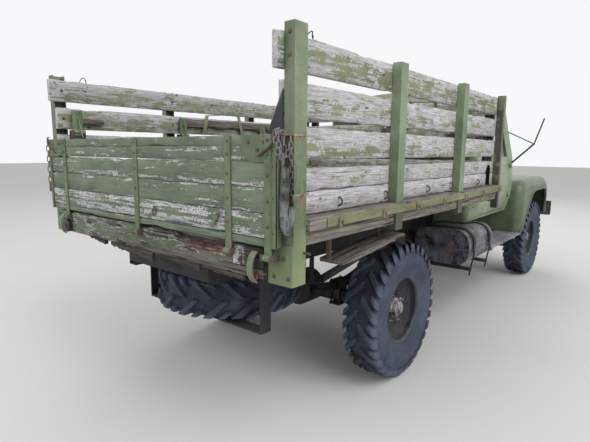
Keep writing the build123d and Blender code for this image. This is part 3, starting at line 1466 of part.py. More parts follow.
with BuildPart() as bonnet:
    for inset, mode in ((0, Mode.ADD), (bonnet_gauge, Mode.SUBTRACT)):
        rear = bonnet_section(bonnet_rear_x, bonnet_rear_half, bonnet_rear_z, inset)
        front = bonnet_section(bonnet_front_x, bonnet_front_half, bonnet_front_z, inset)
        loft(sections=[rear.face(), front.face()], ruled=True, mode=mode)
    for side in (-1, 1):
        bonnet_hinge_leaf(side, True)
save(bonnet.part, "bonnet")

# Grille with upright slots, headlamps, bumper, tow hooks
slot_pitch = 2 * (wing_inner_y - grille_slot_inset) / grille_slots
slot_z = (grille_bottom + grille_slot_foot, bonnet_skirt_z)
with BuildPart() as grille:
    crown = bonnet_section(grille_x[0], bonnet_front_half, bonnet_front_z, 0)
    extrude(crown, amount=grille_x[1] - grille_x[0])
    block(grille_x, (-wing_inner_y, wing_inner_y), (grille_bottom, bonnet_skirt_z))
    for i in range(grille_slots):
        y = (i - (grille_slots - 1) / 2) * slot_pitch
        slot_y = (y - grille_slot_width / 2, y + grille_slot_width / 2)
        block(grille_x, slot_y, slot_z, mode=Mode.SUBTRACT)
save(grille.part, "grille")
with BuildPart() as headlamps:
    for side in (-1, 1):
        back = (wing_front_x, side * lamp_y, lamp_z)
        face = (wing_front_x + lamp_depth, side * lamp_y, lamp_z)
        lens = (wing_front_x + lamp_depth + lamp_lens_depth, side * lamp_y, lamp_z)
        rod(back, face, lamp_radius)
        rod(face, lens, lamp_radius - lamp_rim)
save(headlamps.part, "headlamps")
bumper_x = (bumper_front_x - bumper_depth, bumper_front_x)
with BuildPart() as bumper:
    block(bumper_x, (-bumper_half_width, bumper_half_width), bumper_z)
    hollow_x = (bumper_x[0], bumper_x[1] - bumper_gauge)
    hollow_z = (bumper_z[0] + bumper_gauge, bumper_z[1] - bumper_gauge)
    block(hollow_x, (-bumper_half_width, bumper_half_width), hollow_z, mode=Mode.SUBTRACT)
    for side in (-1, 1):
        horn_y = span(side * rail_inner_y, side * rail_outer_y)
        block((frame_front_x, hollow_x[1]), horn_y, (hollow_z[0], rail_z[1] - rail_plate_drop))
save(bumper.part, "bumper")
with BuildPart() as tow_hooks:
    for side in (-1, 1):
        base_y = span(side * (spring_y - tow_base_half), side * (spring_y + tow_base_half))
        block(tow_base_x, base_y, (rail_z[1], rail_z[1] + tow_base_gauge))
        eye_z = rail_z[1] + tow_eye_radius
        eye_ends = [(tow_eye_x, side * spring_y + dy, eye_z) for dy in (-tow_eye_half, tow_eye_half)]
        rod(eye_ends[0], eye_ends[1], tow_eye_radius)
        rod(eye_ends[0], eye_ends[1], tow_eye_hole, Mode.SUBTRACT)
save(tow_hooks.part, "tow_hooks")

# Mirror arms: a stout bracket, a thin bar up from its elbow and a stay to the screen post
with BuildPart() as mirror_arms:
    for side in (-1, 1):
        points = []
        for x, y, z in (mirror_foot, mirror_elbow, mirror_head, mirror_stay_foot):
            points.append((x, side * y, z))
        foot, elbow, head, stay_foot = points
        flat_bar(foot, elbow, mirror_bracket[0], mirror_bracket[1], (1, 0, 0))
        rod(elbow, head, mirror_bar_radius)
        rod(elbow, stay_foot, mirror_stay_radius)
    add(skin, mode=Mode.SUBTRACT)
save(mirror_arms.part, "mirror_arms")
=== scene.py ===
import json
import math
from collections import defaultdict
from itertools import product
import bpy
import bmesh
from mathutils import Matrix, Vector, noise


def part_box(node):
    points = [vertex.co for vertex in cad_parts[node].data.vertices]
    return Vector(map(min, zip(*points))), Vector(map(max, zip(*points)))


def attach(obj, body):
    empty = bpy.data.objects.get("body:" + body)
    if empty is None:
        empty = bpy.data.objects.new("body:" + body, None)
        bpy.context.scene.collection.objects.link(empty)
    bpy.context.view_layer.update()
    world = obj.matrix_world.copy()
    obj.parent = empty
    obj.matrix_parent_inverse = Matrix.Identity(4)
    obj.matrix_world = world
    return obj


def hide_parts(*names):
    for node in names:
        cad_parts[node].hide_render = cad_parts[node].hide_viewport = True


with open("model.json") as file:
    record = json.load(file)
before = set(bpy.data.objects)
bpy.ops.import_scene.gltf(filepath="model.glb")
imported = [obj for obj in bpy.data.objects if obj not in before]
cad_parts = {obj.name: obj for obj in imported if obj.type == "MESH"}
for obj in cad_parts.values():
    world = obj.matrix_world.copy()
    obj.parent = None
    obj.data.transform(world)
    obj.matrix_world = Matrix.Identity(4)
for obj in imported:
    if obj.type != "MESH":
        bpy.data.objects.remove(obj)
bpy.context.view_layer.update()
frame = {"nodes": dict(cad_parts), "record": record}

bodyNodes = frame["record"]["behaviour"]["bodies"]
bodyOf = {node: body for body, nodes in bodyNodes.items() for node in nodes}
slotOf = {entry["node"]: entry["material_slot"] for entry in frame["record"]["subparts"]}
print("cad model loaded")


# camera, floor and light

camera = {
    "place": (-4.739, -2.479, 1.729),
    "turn": 39.57,    # degrees from forward towards the truck's left
    "dip": 8.75,
    "roll": 0.42,
    "lens": 27.72,
}
aim = math.radians(camera["turn"])
dip = math.radians(camera["dip"])
ahead = Vector((math.cos(dip) * math.cos(aim), math.cos(dip) * math.sin(aim), -math.sin(dip)))
right = ahead.cross(Vector((0, 0, 1))).normalized()
right = Matrix.Rotation(math.radians(-camera["roll"]), 3, ahead) @ right
turned = Matrix((right, right.cross(ahead), -ahead)).transposed().to_4x4()
lensData = bpy.data.cameras.new("viewer")
lensData.lens = camera["lens"]
lensData.sensor_width = 36
lensData.sensor_fit = "HORIZONTAL"
lensData.clip_end = 200
viewer = bpy.data.objects.new("viewer", lensData)
bpy.context.collection.objects.link(viewer)
viewer.matrix_world = Matrix.Translation(camera["place"]) @ turned
bpy.context.scene.camera = viewer
bpy.context.scene.view_settings.view_transform = "Standard"

studio = {
    "air": (0.96, 0.98, 1.0), "skyLight": 0.78,
    "backdrop": (0.93, 0.94, 0.95),
    "floorTone": (0.62, 0.61, 0.59), "floorDim": (0.93, 0.93, 0.92), "floorHalf": 60,
    # name, place, energy, size, colour
    "lamps": (
        ("skylightBig", (-3.0, -9.0, 9.0), 910, 9.0, (0.97, 0.98, 1.0)),
        ("skylightRear", (-11.0, 3.0, 7.0), 420, 7.0, (0.95, 0.98, 1.0)),
        ("skylightFront", (9.0, 5.0, 8.0), 420, 7.0, (1.0, 1.0, 1.0)),
    ),
}


def makeStage():
    world = bpy.data.worlds.new("studioAir")
    bpy.context.scene.world = world
    world.use_nodes = True
    tree = world.node_tree
    tree.nodes.clear()
    out = tree.nodes.new("ShaderNodeOutputWorld")
    pick = tree.nodes.new("ShaderNodeMixShader")
    for i, (tint, strength) in enumerate(((studio["air"], studio["skyLight"]), (studio["backdrop"], 1))):
        sky = tree.nodes.new("ShaderNodeBackground")
        sky.inputs["Color"].default_value = (*tint, 1)
        sky.inputs["Strength"].default_value = strength
        tree.links.new(sky.outputs[0], pick.inputs[i + 1])
    path = tree.nodes.new("ShaderNodeLightPath")
    anyRay = path.outputs["Is Camera Ray"]
    for ray in ("Is Glossy Ray", "Is Transmission Ray"):
        either = tree.nodes.new("ShaderNodeMath")
        either.operation = "MAXIMUM"
        tree.links.new(anyRay, either.inputs[0])
        tree.links.new(path.outputs[ray], either.inputs[1])
        anyRay = either.outputs[0]
    tree.links.new(anyRay, pick.inputs[0])
    tree.links.new(pick.outputs[0], out.inputs[0])
    for name, place, energy, size, tint in studio["lamps"]:
        lampData = bpy.data.lights.new(name, "AREA")
        lampData.energy, lampData.size, lampData.color = energy, size, tint
        lamp = bpy.data.objects.new(name, lampData)
        bpy.context.collection.objects.link(lamp)
        lamp.location = place
        lamp.rotation_euler = (Vector((0, 0, 1)) - Vector(place)).to_track_quat("-Z", "Y").to_euler()
    wide = studio["floorHalf"]
    mesh = bpy.data.meshes.new("studioFloor")
    mesh.from_pydata([(-wide, -wide, 0), (wide, -wide, 0), (wide, wide, 0), (-wide, wide, 0)], [], [(0, 1, 2, 3)])
    floor = bpy.data.objects.new("studioFloor", mesh)
    bpy.context.collection.objects.link(floor)
    mesh.materials.append(floorSurface())


# material helpers

def shade(red, green, blue):
    # screen colour 0..255 to the linear colour the shaders take
    def linear(value):
        value /= 255
        return value / 12.92 if value <= 0.04045 else ((value + 0.055) / 1.055) ** 2.4
    return (linear(red), linear(green), linear(blue), 1)


class Signal:
    # a value in a finish's tree; its sums, products and ramps are nodes too

    def __init__(self, finish, socket):
        self.finish, self.socket = finish, socket

    def __add__(self, other):
        return self.finish.calc("ADD", self, other)

    def __sub__(self, other):
        return self.finish.calc("SUBTRACT", self, other)

    def __rsub__(self, other):
        return self.finish.calc("SUBTRACT", other, self)

    def __mul__(self, other):
        return self.finish.calc("MULTIPLY", self, other)

    def ramp(self, low, high):
        # 0 at low, 1 at high
        return self.finish.add("MapRange", {"Value": self, "From Min": low, "From Max": high}, clamp=True)


class Finish:
    # a material, its principled shader and the nodes before it

    def __init__(self, name):
        self.surface = bpy.data.materials.new(name)
        self.surface.use_nodes = True
        self.tree = self.surface.node_tree
        self.tree.nodes.clear()
        out = self.tree.nodes.new("ShaderNodeOutputMaterial")
        shader = self.tree.nodes.new("ShaderNodeBsdfPrincipled")
        self.tree.links.new(shader.outputs[0], out.inputs[0])
        self.inputs = shader.inputs

    def plug(self, socket, value):
        if isinstance(value, Signal):
            self.tree.links.new(value.socket, socket)
        else:
            socket.default_value = value

    def add(self, kind, sockets, output=0, **settings):
        node = self.tree.nodes.new("ShaderNode" + kind)
        for key, value in settings.items():
            setattr(node, key, value)
        for key, value in sockets.items():
            self.plug(node.inputs[key], value)
        return Signal(self, node.outputs[output])

    def calc(self, operation, first, second):
        return self.add("Math", {0: first, 1: second}, operation=operation)

    def place(self):
        return self.add("TexCoord", {}, "Object")

    def layer(self, name, output="Fac"):
        return self.add("Attribute", {}, output, attribute_name=name)

    def axis(self, vector, index):
        return self.add("SeparateXYZ", {0: vector}, index)

    def facing(self, index):
        return self.axis(self.add("NewGeometry", {}, "Normal"), index)

    def spread(self, vector, scale, detail=4.0, rough=0.55, stretch=None, shift=(0, 0, 0)):
        # a noise value, its space stretched first
        if stretch:
            vector = self.add("Mapping", {"Vector": vector, "Scale": stretch, "Location": shift})
        return self.add("TexNoise", {"Vector": vector, "Scale": scale, "Detail": detail, "Roughness": rough})

    def blend(self, amount, first, second):
        # three numbers are a screen colour, four a linear one
        pair = (shade(*tone) if isinstance(tone, tuple) and len(tone) == 3 else tone for tone in (first, second))
        return self.add("Mix", dict(zip((0, 6, 7), (amount, *pair))), 2, data_type="RGBA")

    def close(self, colour, rough, height, strength, depth, shine=0.5):
        bump = self.add("Bump", {"Height": height, "Strength": strength, "Distance": depth})
        keys = ("Base Color", "Roughness", "Specular IOR Level", "Normal")
        for key, value in zip(keys, (colour, rough, shine, bump)):
            self.plug(self.inputs[key], value)
        return self.surface


def floorSurface():
    make = Finish("studioFloorTone")
    tone = studio["floorTone"]
    dark = [part * dim for part, dim in zip(tone, studio["floorDim"])]
    make.plug(make.inputs["Base Color"], make.blend(make.spread(make.place(), 0.6, 5), (*dark, 1), (*tone, 1)))
    make.inputs["Roughness"].default_value = 0.95
    return make.surface


# weathered timber

# paint is the share left on a board that counts as half worn
timberLooks = {
    "sideBoardTimber": {
        "paint": 0.42, "paintDark": (90, 99, 74), "paintPale": (136, 143, 120),
        "woodDark": (112, 106, 108), "woodPale": (206, 204, 209), "coat": 0.012,
        "lichen": 0.85, "crack": 0.31, "wave": 0.28, "fine": 0.95, "patch": (9.0, 17.0, 17.0),
    },
    "tailgateTimber": {
        "paint": 0.60, "paintDark": (68, 80, 62), "paintPale": (110, 121, 102),
        "woodDark": (92, 90, 94), "woodPale": (178, 182, 190), "coat": 0.045,
        "lichen": 0.10, "crack": 0.33, "fine": 1.1, "patch": (6.5, 19.0, 19.0),
    },
    "ledgeTimber": {
        "paint": 0.30, "paintDark": (88, 88, 64), "paintPale": (128, 127, 102),
        "woodDark": (62, 56, 52), "woodPale": (150, 144, 136), "coat": 0.0,
        "lichen": 0.50, "crack": 0.40,
    },
    "bareTimber": {
        "paint": 0.05, "paintDark": (92, 98, 60), "paintPale": (130, 136, 92),
        "woodDark": (48, 42, 38), "woodPale": (136, 126, 118), "coat": 0.0,
        "lichen": 0.16, "crack": 0.42,
    },
    "darkTimber": {
        "paint": 0.02, "paintDark": (60, 64, 46), "paintPale": (92, 96, 74),
        "woodDark": (26, 23, 22), "woodPale": (84, 78, 74), "coat": 0.0,
        "lichen": 0.06, "crack": 0.42,
    },
    "rottenTimber": {
        "paint": 0.36, "paintDark": (60, 68, 50), "paintPale": (104, 113, 92),
        "woodDark": (36, 32, 30), "woodPale": (114, 112, 108), "coat": 0.02,
        "lichen": 0.15, "crack": 0.44,
    },
}
# noises along the grain: detail, roughness, stretch, shift
grainNoises = {
    "streak": (4, 0.6, (3.2, 62.0, 62.0), (3, 5, 7)),
    "fibre": (4, 0.65, (9.0, 300.0, 300.0), (9, 2, 4)),
    "check": (2, 0.5, (2.2, 120.0, 120.0), (1, 8, 2)),
    "stain": (5, 0.6, (2.4, 6.0, 6.0), (6, 1, 5)),
    "soot": (3, 0.6, (30.0, 60.0, 60.0), (2, 2, 9)),
    "knots": (2, 0.4, (13.0, 26.0, 26.0), (4, 4, 4)),
    "dirt": (7, 0.75, (11.0, 30.0, 30.0), (8, 1, 3)),
}
timberTones = {
    "crack": (0.018, 0.014, 0.012, 1), "coat": (206, 204, 200), "moss": (140, 144, 92), "soot": (52, 44, 42),
    "knots": (66, 60, 60), "dirt": (98, 92, 88),
}
# stains of the rear beam: the red stretch, the dark right end and the bare foot, from the middle to the right
beamLook = {
    "red": (92, 48, 42), "redFrom": (0.40, 0.50), "redTo": (0.80, 0.86), "redAbove": (1.185, 1.215),
    "end": (36, 29, 27), "endFrom": (0.912, 0.930),
    "bare": ((40, 34, 32), (104, 98, 94)), "bareFrom": (-0.40, 0.05), "bareBelow": (1.252, 1.264),
}


def beamStains(make, colour, patch, streak):
    b = beamLook
    rightward, up = make.axis(make.place(), 1) * -1.0, make.axis(make.place(), 2)
    red = rightward.ramp(*b["redFrom"]) * (1.0 - rightward.ramp(*b["redTo"]))
    red = red * (up.ramp(*b["redAbove"]) * patch.ramp(0.42, 0.48))
    colour = make.blend(red * 0.8, colour, b["red"])
    colour = make.blend(rightward.ramp(*b["endFrom"]) * 0.85, colour, b["end"])
    bare = rightward.ramp(*b["bareFrom"]) * (1.0 - (up + patch * 0.16).ramp(*b["bareBelow"]))
    return make.blend(bare * 0.92, colour, make.blend(streak.ramp(0.42, 0.60), *b["bare"]))


def timberSurface(name):
    look = timberLooks[name]
    make = Finish(name)
    grain, worn = make.layer("grain", "Vector"), make.layer("worn")

    def along(key):
        return make.spread(grain, 1.0, *grainNoises[key])

    patch = make.spread(grain, 1.0, 6, 0.62, look.get("patch", (5.0, 17.0, 17.0)))
    streak, fibre, check, stain = (along(key) for key in ("streak", "fibre", "check", "stain"))
    fleck = make.spread(grain, 90.0, 4, 0.7)
    # bare wood
    wave = look.get("wave", 0.55)
    tone = streak * wave + fibre * (1.0 - wave)
    wood = make.blend(tone.ramp(0.34, 0.62), look["woodDark"], look["woodPale"])
    wood = make.blend(stain.ramp(0.55, 0.78) * 0.55, wood, look["woodDark"])
    split = 1.0 - check.ramp(look["crack"] - 0.06, look["crack"])
    wood = make.blend(split, wood, timberTones["crack"])
    # paint that is left, with a pale ground coat at its torn edges
    fine = look.get("fine", 0.35)
    level = patch * (0.72 - 0.26 * fine) + streak * (0.34 + 0.14 * fine) + fleck * (0.16 + 0.12 * fine) + worn * -0.30
    edge = 0.60 - 0.45 * look["paint"]
    covered = level.ramp(edge, edge + 0.012)
    coat = level.ramp(edge - look["coat"], edge - look["coat"] + 0.012)
    paint = make.blend((stain * 0.6 + fibre * 0.4).ramp(0.36, 0.62), look["paintDark"], look["paintPale"])
    colour = make.blend(coat * 0.75, wood, timberTones["coat"])
    colour = make.blend(covered * 0.96, colour, paint)
    moss = fleck.ramp(0.50, 0.57) * patch.ramp(0.64 - 0.32 * look["lichen"], 0.66)
    colour = make.blend(moss * 0.7, colour, timberTones["moss"])
    colour = make.blend(along("soot").ramp(0.66, 0.74) * 0.6, colour, timberTones["soot"])
    if name == "sideBoardTimber":
        colour = make.blend(along("knots").ramp(0.69, 0.75) * 0.75, colour, timberTones["knots"])
        colour = make.blend(along("dirt").ramp(0.56, 0.66) * 0.45, colour, timberTones["dirt"])
    if name == "rottenTimber":
        colour = beamStains(make, colour, patch, streak)
    height = fibre * 0.5 + streak * (0.7 * wave) + covered * 0.35 + split * -1.2 + moss * 0.3
    return make.close(colour, 0.93 - covered * 0.22, height, 0.75, 0.0022, 0.25)


# steel, rubber, cloth and glass

# dark tone, pale tone, share of rust, of dust, roughness, lichen
steelLooks = {
    "postPaint": ((84, 96, 72), (126, 136, 112), 0.08, 0.1, 0.55, 0.12),
    "cabPaint": ((98, 111, 84), (146, 158, 132), 0.02, 0.16, 0.36, 0.0),
    # the wings take the cab's green drawn darker: painted shade
    "wingShadedPaint": ((62, 75, 52), (98, 111, 86), 0.02, 0.14, 0.36, 0.0),
    "strapPaint": ((70, 82, 60), (108, 119, 94), 0.16, 0.1, 0.6, 0.08),
    "railPaint": ((78, 78, 52), (136, 134, 104), 0.34, 0.14, 0.7, 0.0),
    "chassisBlack": ((18, 18, 20), (44, 44, 48), 0.12, 0.22, 0.65, 0.0),
    # the tank's pale blue-grey tone is painted highlight, mottled through its dark paint
    "tankBlack": ((13, 13, 17), (96, 100, 116), 0.44, 0.22, 0.3, 0.0),
    "wheelPaint": ((16, 15, 17), (48, 47, 54), 0.12, 0.14, 0.6, 0.0),
    "rustySteel": ((50, 40, 34), (104, 92, 84), 0.5, 0.12, 0.75, 0.0),
    "engineIron": ((46, 46, 46), (86, 85, 84), 0.22, 0.35, 0.7, 0.0),
    "hoopBlack": ((17, 19, 25), (40, 44, 54), 0.08, 0.12, 0.5, 0.0),
    "flakedWhite": ((52, 46, 48), (176, 172, 176), 0.66, 0.1, 0.6, 0.0),
    "chainSteel": ((64, 60, 58), (146, 142, 142), 0.34, 0.05, 0.55, 0.0),
    "guardPaint": ((60, 68, 52), (122, 132, 110), 0.36, 0.1, 0.6, 0.0),
    "stepSteel": ((60, 61, 70), (142, 143, 157), 0.14, 0.2, 0.55, 0.0),
    "archShadow": ((9, 9, 10), (22, 22, 24), 0.05, 0.0, 0.9, 0.0),
    # the rim is drawn lighter grey than the disc: painted highlight on its flange, with dust
    "rimGreyHighlight": ((20, 20, 24), (72, 75, 86), 0.1, 0.12, 0.5, 0.0),
}
steelTones = {
    "dust": (150, 142, 130), "lichen": (150, 152, 96), "varnish": (16, 16, 19), "mud": (112, 94, 78),
    "rust": ((62, 38, 28), (124, 82, 58)),
}
# rust that isn't brown: dark and pale
rustTones = {"tankBlack": ((54, 44, 40), (112, 88, 70)), "flakedWhite": ((18, 16, 17), (58, 44, 38))}
# collars, rust under them, bright foot and painted shade on the rear flange of the rear post; weathered front post;
# middle feet darker: painted shade and dirt
postLook = {
    "collars": (1.790, 1.527), "rear": -3.0, "rust": (116, 94, 72),
    "collarRise": 0.003, "collarHalf": 0.0085, "collarPale": (146, 141, 118), "collarRust": (98, 78, 62),
    "rearFoot": (1.20, 1.42), "rearFootTone": (132, 148, 100), "flangeShadeTone": (70, 82, 60),
    "front": (-0.30, -0.20), "weathered": (62, 60, 52),
    "feet": (1.330, 1.380), "feetShadeDirtTone": (48, 48, 42),
}


def postStains(make, colour, spot, run, spots):
    p = postLook
    x, z = make.axis(spot, 0), make.axis(spot, 2)
    atRear = 1.0 - x.ramp(p["rear"], p["rear"] + 0.01)
    for level in p["collars"]:
        below = level - z
        band = below.ramp(-0.022, 0.004) * (1.0 - below.ramp(0.015, 0.110))
        colour = make.blend(band * atRear * run.ramp(0.40, 0.58) * 0.65, colour, p["rust"])
        ring = make.calc("LESS_THAN", make.calc("ABSOLUTE", below + p["collarRise"], 0.0), p["collarHalf"])
        ringTone = make.blend(spots.ramp(0.50, 0.56), p["collarPale"], p["collarRust"])
        colour = make.blend(ring * atRear * 0.9, colour, ringTone)
    colour = make.blend(atRear * (1.0 - z.ramp(*p["rearFoot"])) * 0.5, colour, p["rearFootTone"])
    # painted shade: the rear post's rearward-facing flange is drawn darker
    colour = make.blend(atRear * make.facing(0).ramp(-0.5, -0.9) * 0.42, colour, p["flangeShadeTone"])
    colour = make.blend(x.ramp(*p["front"]) * spots.ramp(0.36, 0.50) * 0.85, colour, p["weathered"])
    # painted shade under the ledges, with dirt: the middle posts' feet are drawn darker
    low = (1.0 - z.ramp(*p["feet"])) * (1.0 - atRear)
    return make.blend(low * 0.72, colour, p["feetShadeDirtTone"])


def steelSurface(name):
    dark, pale, rust, dust, gloss, lichen = steelLooks[name]
    make = Finish(name)
    spot = make.place()
    cloud = make.spread(spot, 9.0 if name == "tankBlack" else 2.3, 6, 0.66)
    run = make.spread(spot, 1.0, 4, 0.6, (2.2, 26.0, 26.0) if name == "railPaint" else (26.0, 26.0, 2.2))
    grit = make.spread(spot, 55.0, 5, 0.7)
    spots = make.spread(spot, 15.0, 8, 0.72)
    streaky = 0.12 if name == "postPaint" else 0.3
    tone = cloud * (0.8 - streaky) + run * streaky + grit * 0.2
    colour = make.blend(tone.ramp(0.38, 0.60), dark, pale)
    dusty = (cloud * 0.5 + grit * 0.3 + make.facing(2) * 0.22).ramp(0.46, 0.74) * (dust * 2)
    colour = make.blend(dusty, colour, steelTones["dust"])
    if lichen:
        colour = make.blend(run.ramp(0.62 - 0.2 * lichen, 0.74) * 0.55, colour, steelTones["lichen"])
    if name == "tankBlack":    # dried mud over patches of old varnish
        colour = make.blend(cloud.ramp(0.47, 0.40), colour, steelTones["varnish"])
        colour = make.blend(make.spread(spot, 5.5, 6, 0.7).ramp(0.54, 0.60) * 0.6, colour, steelTones["mud"])
    edge = 0.70 - 0.30 * rust
    eaten = (spots * 0.75 + grit * 0.25).ramp(edge, edge + 0.035)
    rustTone = make.blend(grit.ramp(0.38, 0.62), *rustTones.get(name, steelTones["rust"]))
    colour = make.blend(eaten * 0.92, colour, rustTone)
    if name == "postPaint":
        colour = postStains(make, colour, spot, run, spots)
    rough = make.calc("MINIMUM", eaten * (0.9 - gloss) + gloss + dusty * 0.25, 0.95)
    return make.close(colour, rough, grit * 0.25 + eaten * -0.5 + spots * 0.2, 0.5, 0.0012, 0.4)


rubberLook = {"dark": (20, 24, 31), "pale": (82, 90, 108), "dust": (106, 108, 116)}


def rubberSurface():
    make = Finish("dustyRubber")
    spot = make.place()
    cloud = make.spread(spot, 3.0, 5, 0.6)
    grit = make.spread(spot, 60.0, 6, 0.75)
    smear = make.spread(spot, 9.0, 6, 0.65)
    tone = cloud * 0.9 + smear * 0.7 + grit * 0.35 + make.layer("tread") * 0.62
    colour = make.blend(tone.ramp(0.86, 1.74), rubberLook["dark"], rubberLook["pale"])
    dusty = (smear * 0.6 + grit * 0.4).ramp(0.58, 0.80)
    colour = make.blend(dusty * 0.4, colour, rubberLook["dust"])
    return make.close(colour, 0.8, grit * 0.5 + smear * 0.5, 0.45, 0.0025, 0.3)


def glassSurface():
    make = Finish("dustyGlass")
    make.inputs["Base Color"].default_value = shade(226, 236, 230)
    make.inputs["Transmission Weight"].default_value = 1
    make.inputs["IOR"].default_value = 1.2
    make.plug(make.inputs["Roughness"], make.spread(make.place(), 7.0, 6, 0.7).ramp(0.35, 0.85) * 0.3)
    return make.surface


# dark tone, pale tone, roughness, scale and depth of the pebbling
plainLooks = {
    "cabTrim": ((30, 28, 26), (52, 48, 45), 0.6, 180, 0.0008),
    "seatCover": ((52, 42, 34), (84, 70, 58), 0.55, 260, 0.0010),
    "redLens": ((84, 32, 30), (132, 58, 54), 0.4, 90, 0.0006),
    "smokedLens": ((26, 10, 10), (52, 20, 18), 0.3, 90, 0.0006),
    "paleLens": ((150, 154, 150), (206, 210, 206), 0.15, 120, 0.0006),
}


def plainSurface(name):
    dark, pale, rough, scale, depth = plainLooks[name]
    make = Finish(name)
    spot = make.place()
    pebble = make.spread(spot, scale, 4, 0.65)
    tone = (make.spread(spot, 4.0, 4) * 0.6 + pebble * 0.4).ramp(0.36, 0.64)
    return make.close(make.blend(tone, dark, pale), rough, pebble, 0.5, depth, 0.35)


canvasLook = {"dark": (54, 60, 58), "pale": (128, 136, 134), "rusty": (92, 64, 48), "threads": 190.0}


def canvasSurface():
    make = Finish("wornCanvas")
    spot = make.place()
    threads = {"Vector": spot, "Scale": canvasLook["threads"], "Distortion": 0.6}
    warp, weft = (make.add("TexWave", threads, 1, bands_direction=way) for way in "XZ")
    cloud = make.spread(spot, 12.0, 6, 0.65)
    colour = make.blend(cloud.ramp(0.38, 0.62), canvasLook["dark"], canvasLook["pale"])
    colour = make.blend(make.spread(spot, 22.0, 4, 0.6).ramp(0.54, 0.64) * 0.55, colour, canvasLook["rusty"])
    return make.close(colour, 0.95, warp * 0.5 + weft * 0.5 + cloud * 1.5, 0.5, 0.0012)


surfaces = {name: timberSurface(name) for name in timberLooks}
surfaces.update({name: steelSurface(name) for name in steelLooks})
surfaces.update({name: plainSurface(name) for name in plainLooks})
surfaces.update(dustyRubber=rubberSurface(), dustyGlass=glassSurface(), wornCanvas=canvasSurface())
makeStage()
print("camera, light and finishes ready")


# mesh helpers

def settle(piece, node, replace=True, slot=None):
    # links a piece, with the body of a cad node
    bpy.context.collection.objects.link(piece)
    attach(piece, bodyOf[node])
    slot or slotOf[node]
    if replace:
        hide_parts(node)
    return piece


def dress(mesh, surface, sharp=None):
    # one finish and smooth faces, with edges sharp from an angle on
    mesh.materials.clear()
    mesh.materials.append(surfaces[surface])
    mesh.polygons.foreach_set("use_smooth", [True] * len(mesh.polygons))
    if sharp:
        mesh.set_sharp_from_angle(angle=math.radians(sharp))


# how near points are welded, the angles that are flat, sharp and rolled
softened = {"weld": 0.00005, "flat": 0.8, "sharp": 28, "rolled": 40}


def softenNode(node, surface, width):
    # a copy of a cad node with rolled edges, in its place
    mesh = frame["nodes"][node].data.copy()
    work = bmesh.new()
    work.from_mesh(mesh)
    bmesh.ops.remove_doubles(work, verts=work.verts, dist=softened["weld"])
    flat = math.radians(softened["flat"])
    bmesh.ops.dissolve_limit(work, angle_limit=flat, verts=work.verts, edges=work.edges)
    work.to_mesh(mesh)
    work.free()
    dress(mesh, surface, softened["sharp"])
    piece = settle(bpy.data.objects.new(node + "Steel", mesh), node)
    if width:
        rolled = piece.modifiers.new("rolledEdges", "BEVEL")
        rolled.width, rolled.segments = width, 2
        rolled.limit_method, rolled.angle_limit = "ANGLE", math.radians(softened["rolled"])
        rolled.harden_normals = True


def mirrored(low, high, side):
    # a box for the left, or the same one on the right
    if side > 0:
        return low, high
    return (low[0], -high[1], low[2]), (high[0], -low[1], high[2])


def alongLine(line, share):
    # a smooth point between the stations of a line
    reach = share * (len(line) - 1)
    i = min(int(reach), len(line) - 2)
    t = reach - i
    near = [line[min(max(k, 0), len(line) - 1)] for k in (i - 1, i, i + 1, i + 2)]
    weights = (-t + 2 * t * t - t ** 3, 2 - 5 * t * t + 3 * t ** 3, t + 4 * t * t - 3 * t ** 3, t ** 3 - t * t)
    return [0.5 * sum(w * p for w, p in zip(weights, column)) for column in zip(*near)]


# radius and height of a bolt head's rings, as shares
domeRings = ((1.0, 0.0), (0.96, 0.45), (0.62, 0.86))
# a board's broken edge, the space of its points across and along, and how far its edges are chipped and rough
plankCut = {"soft": 0.004, "across": 0.05, "along": 0.045, "closer": 400, "chip": 0.028, "rough": 0.0008}


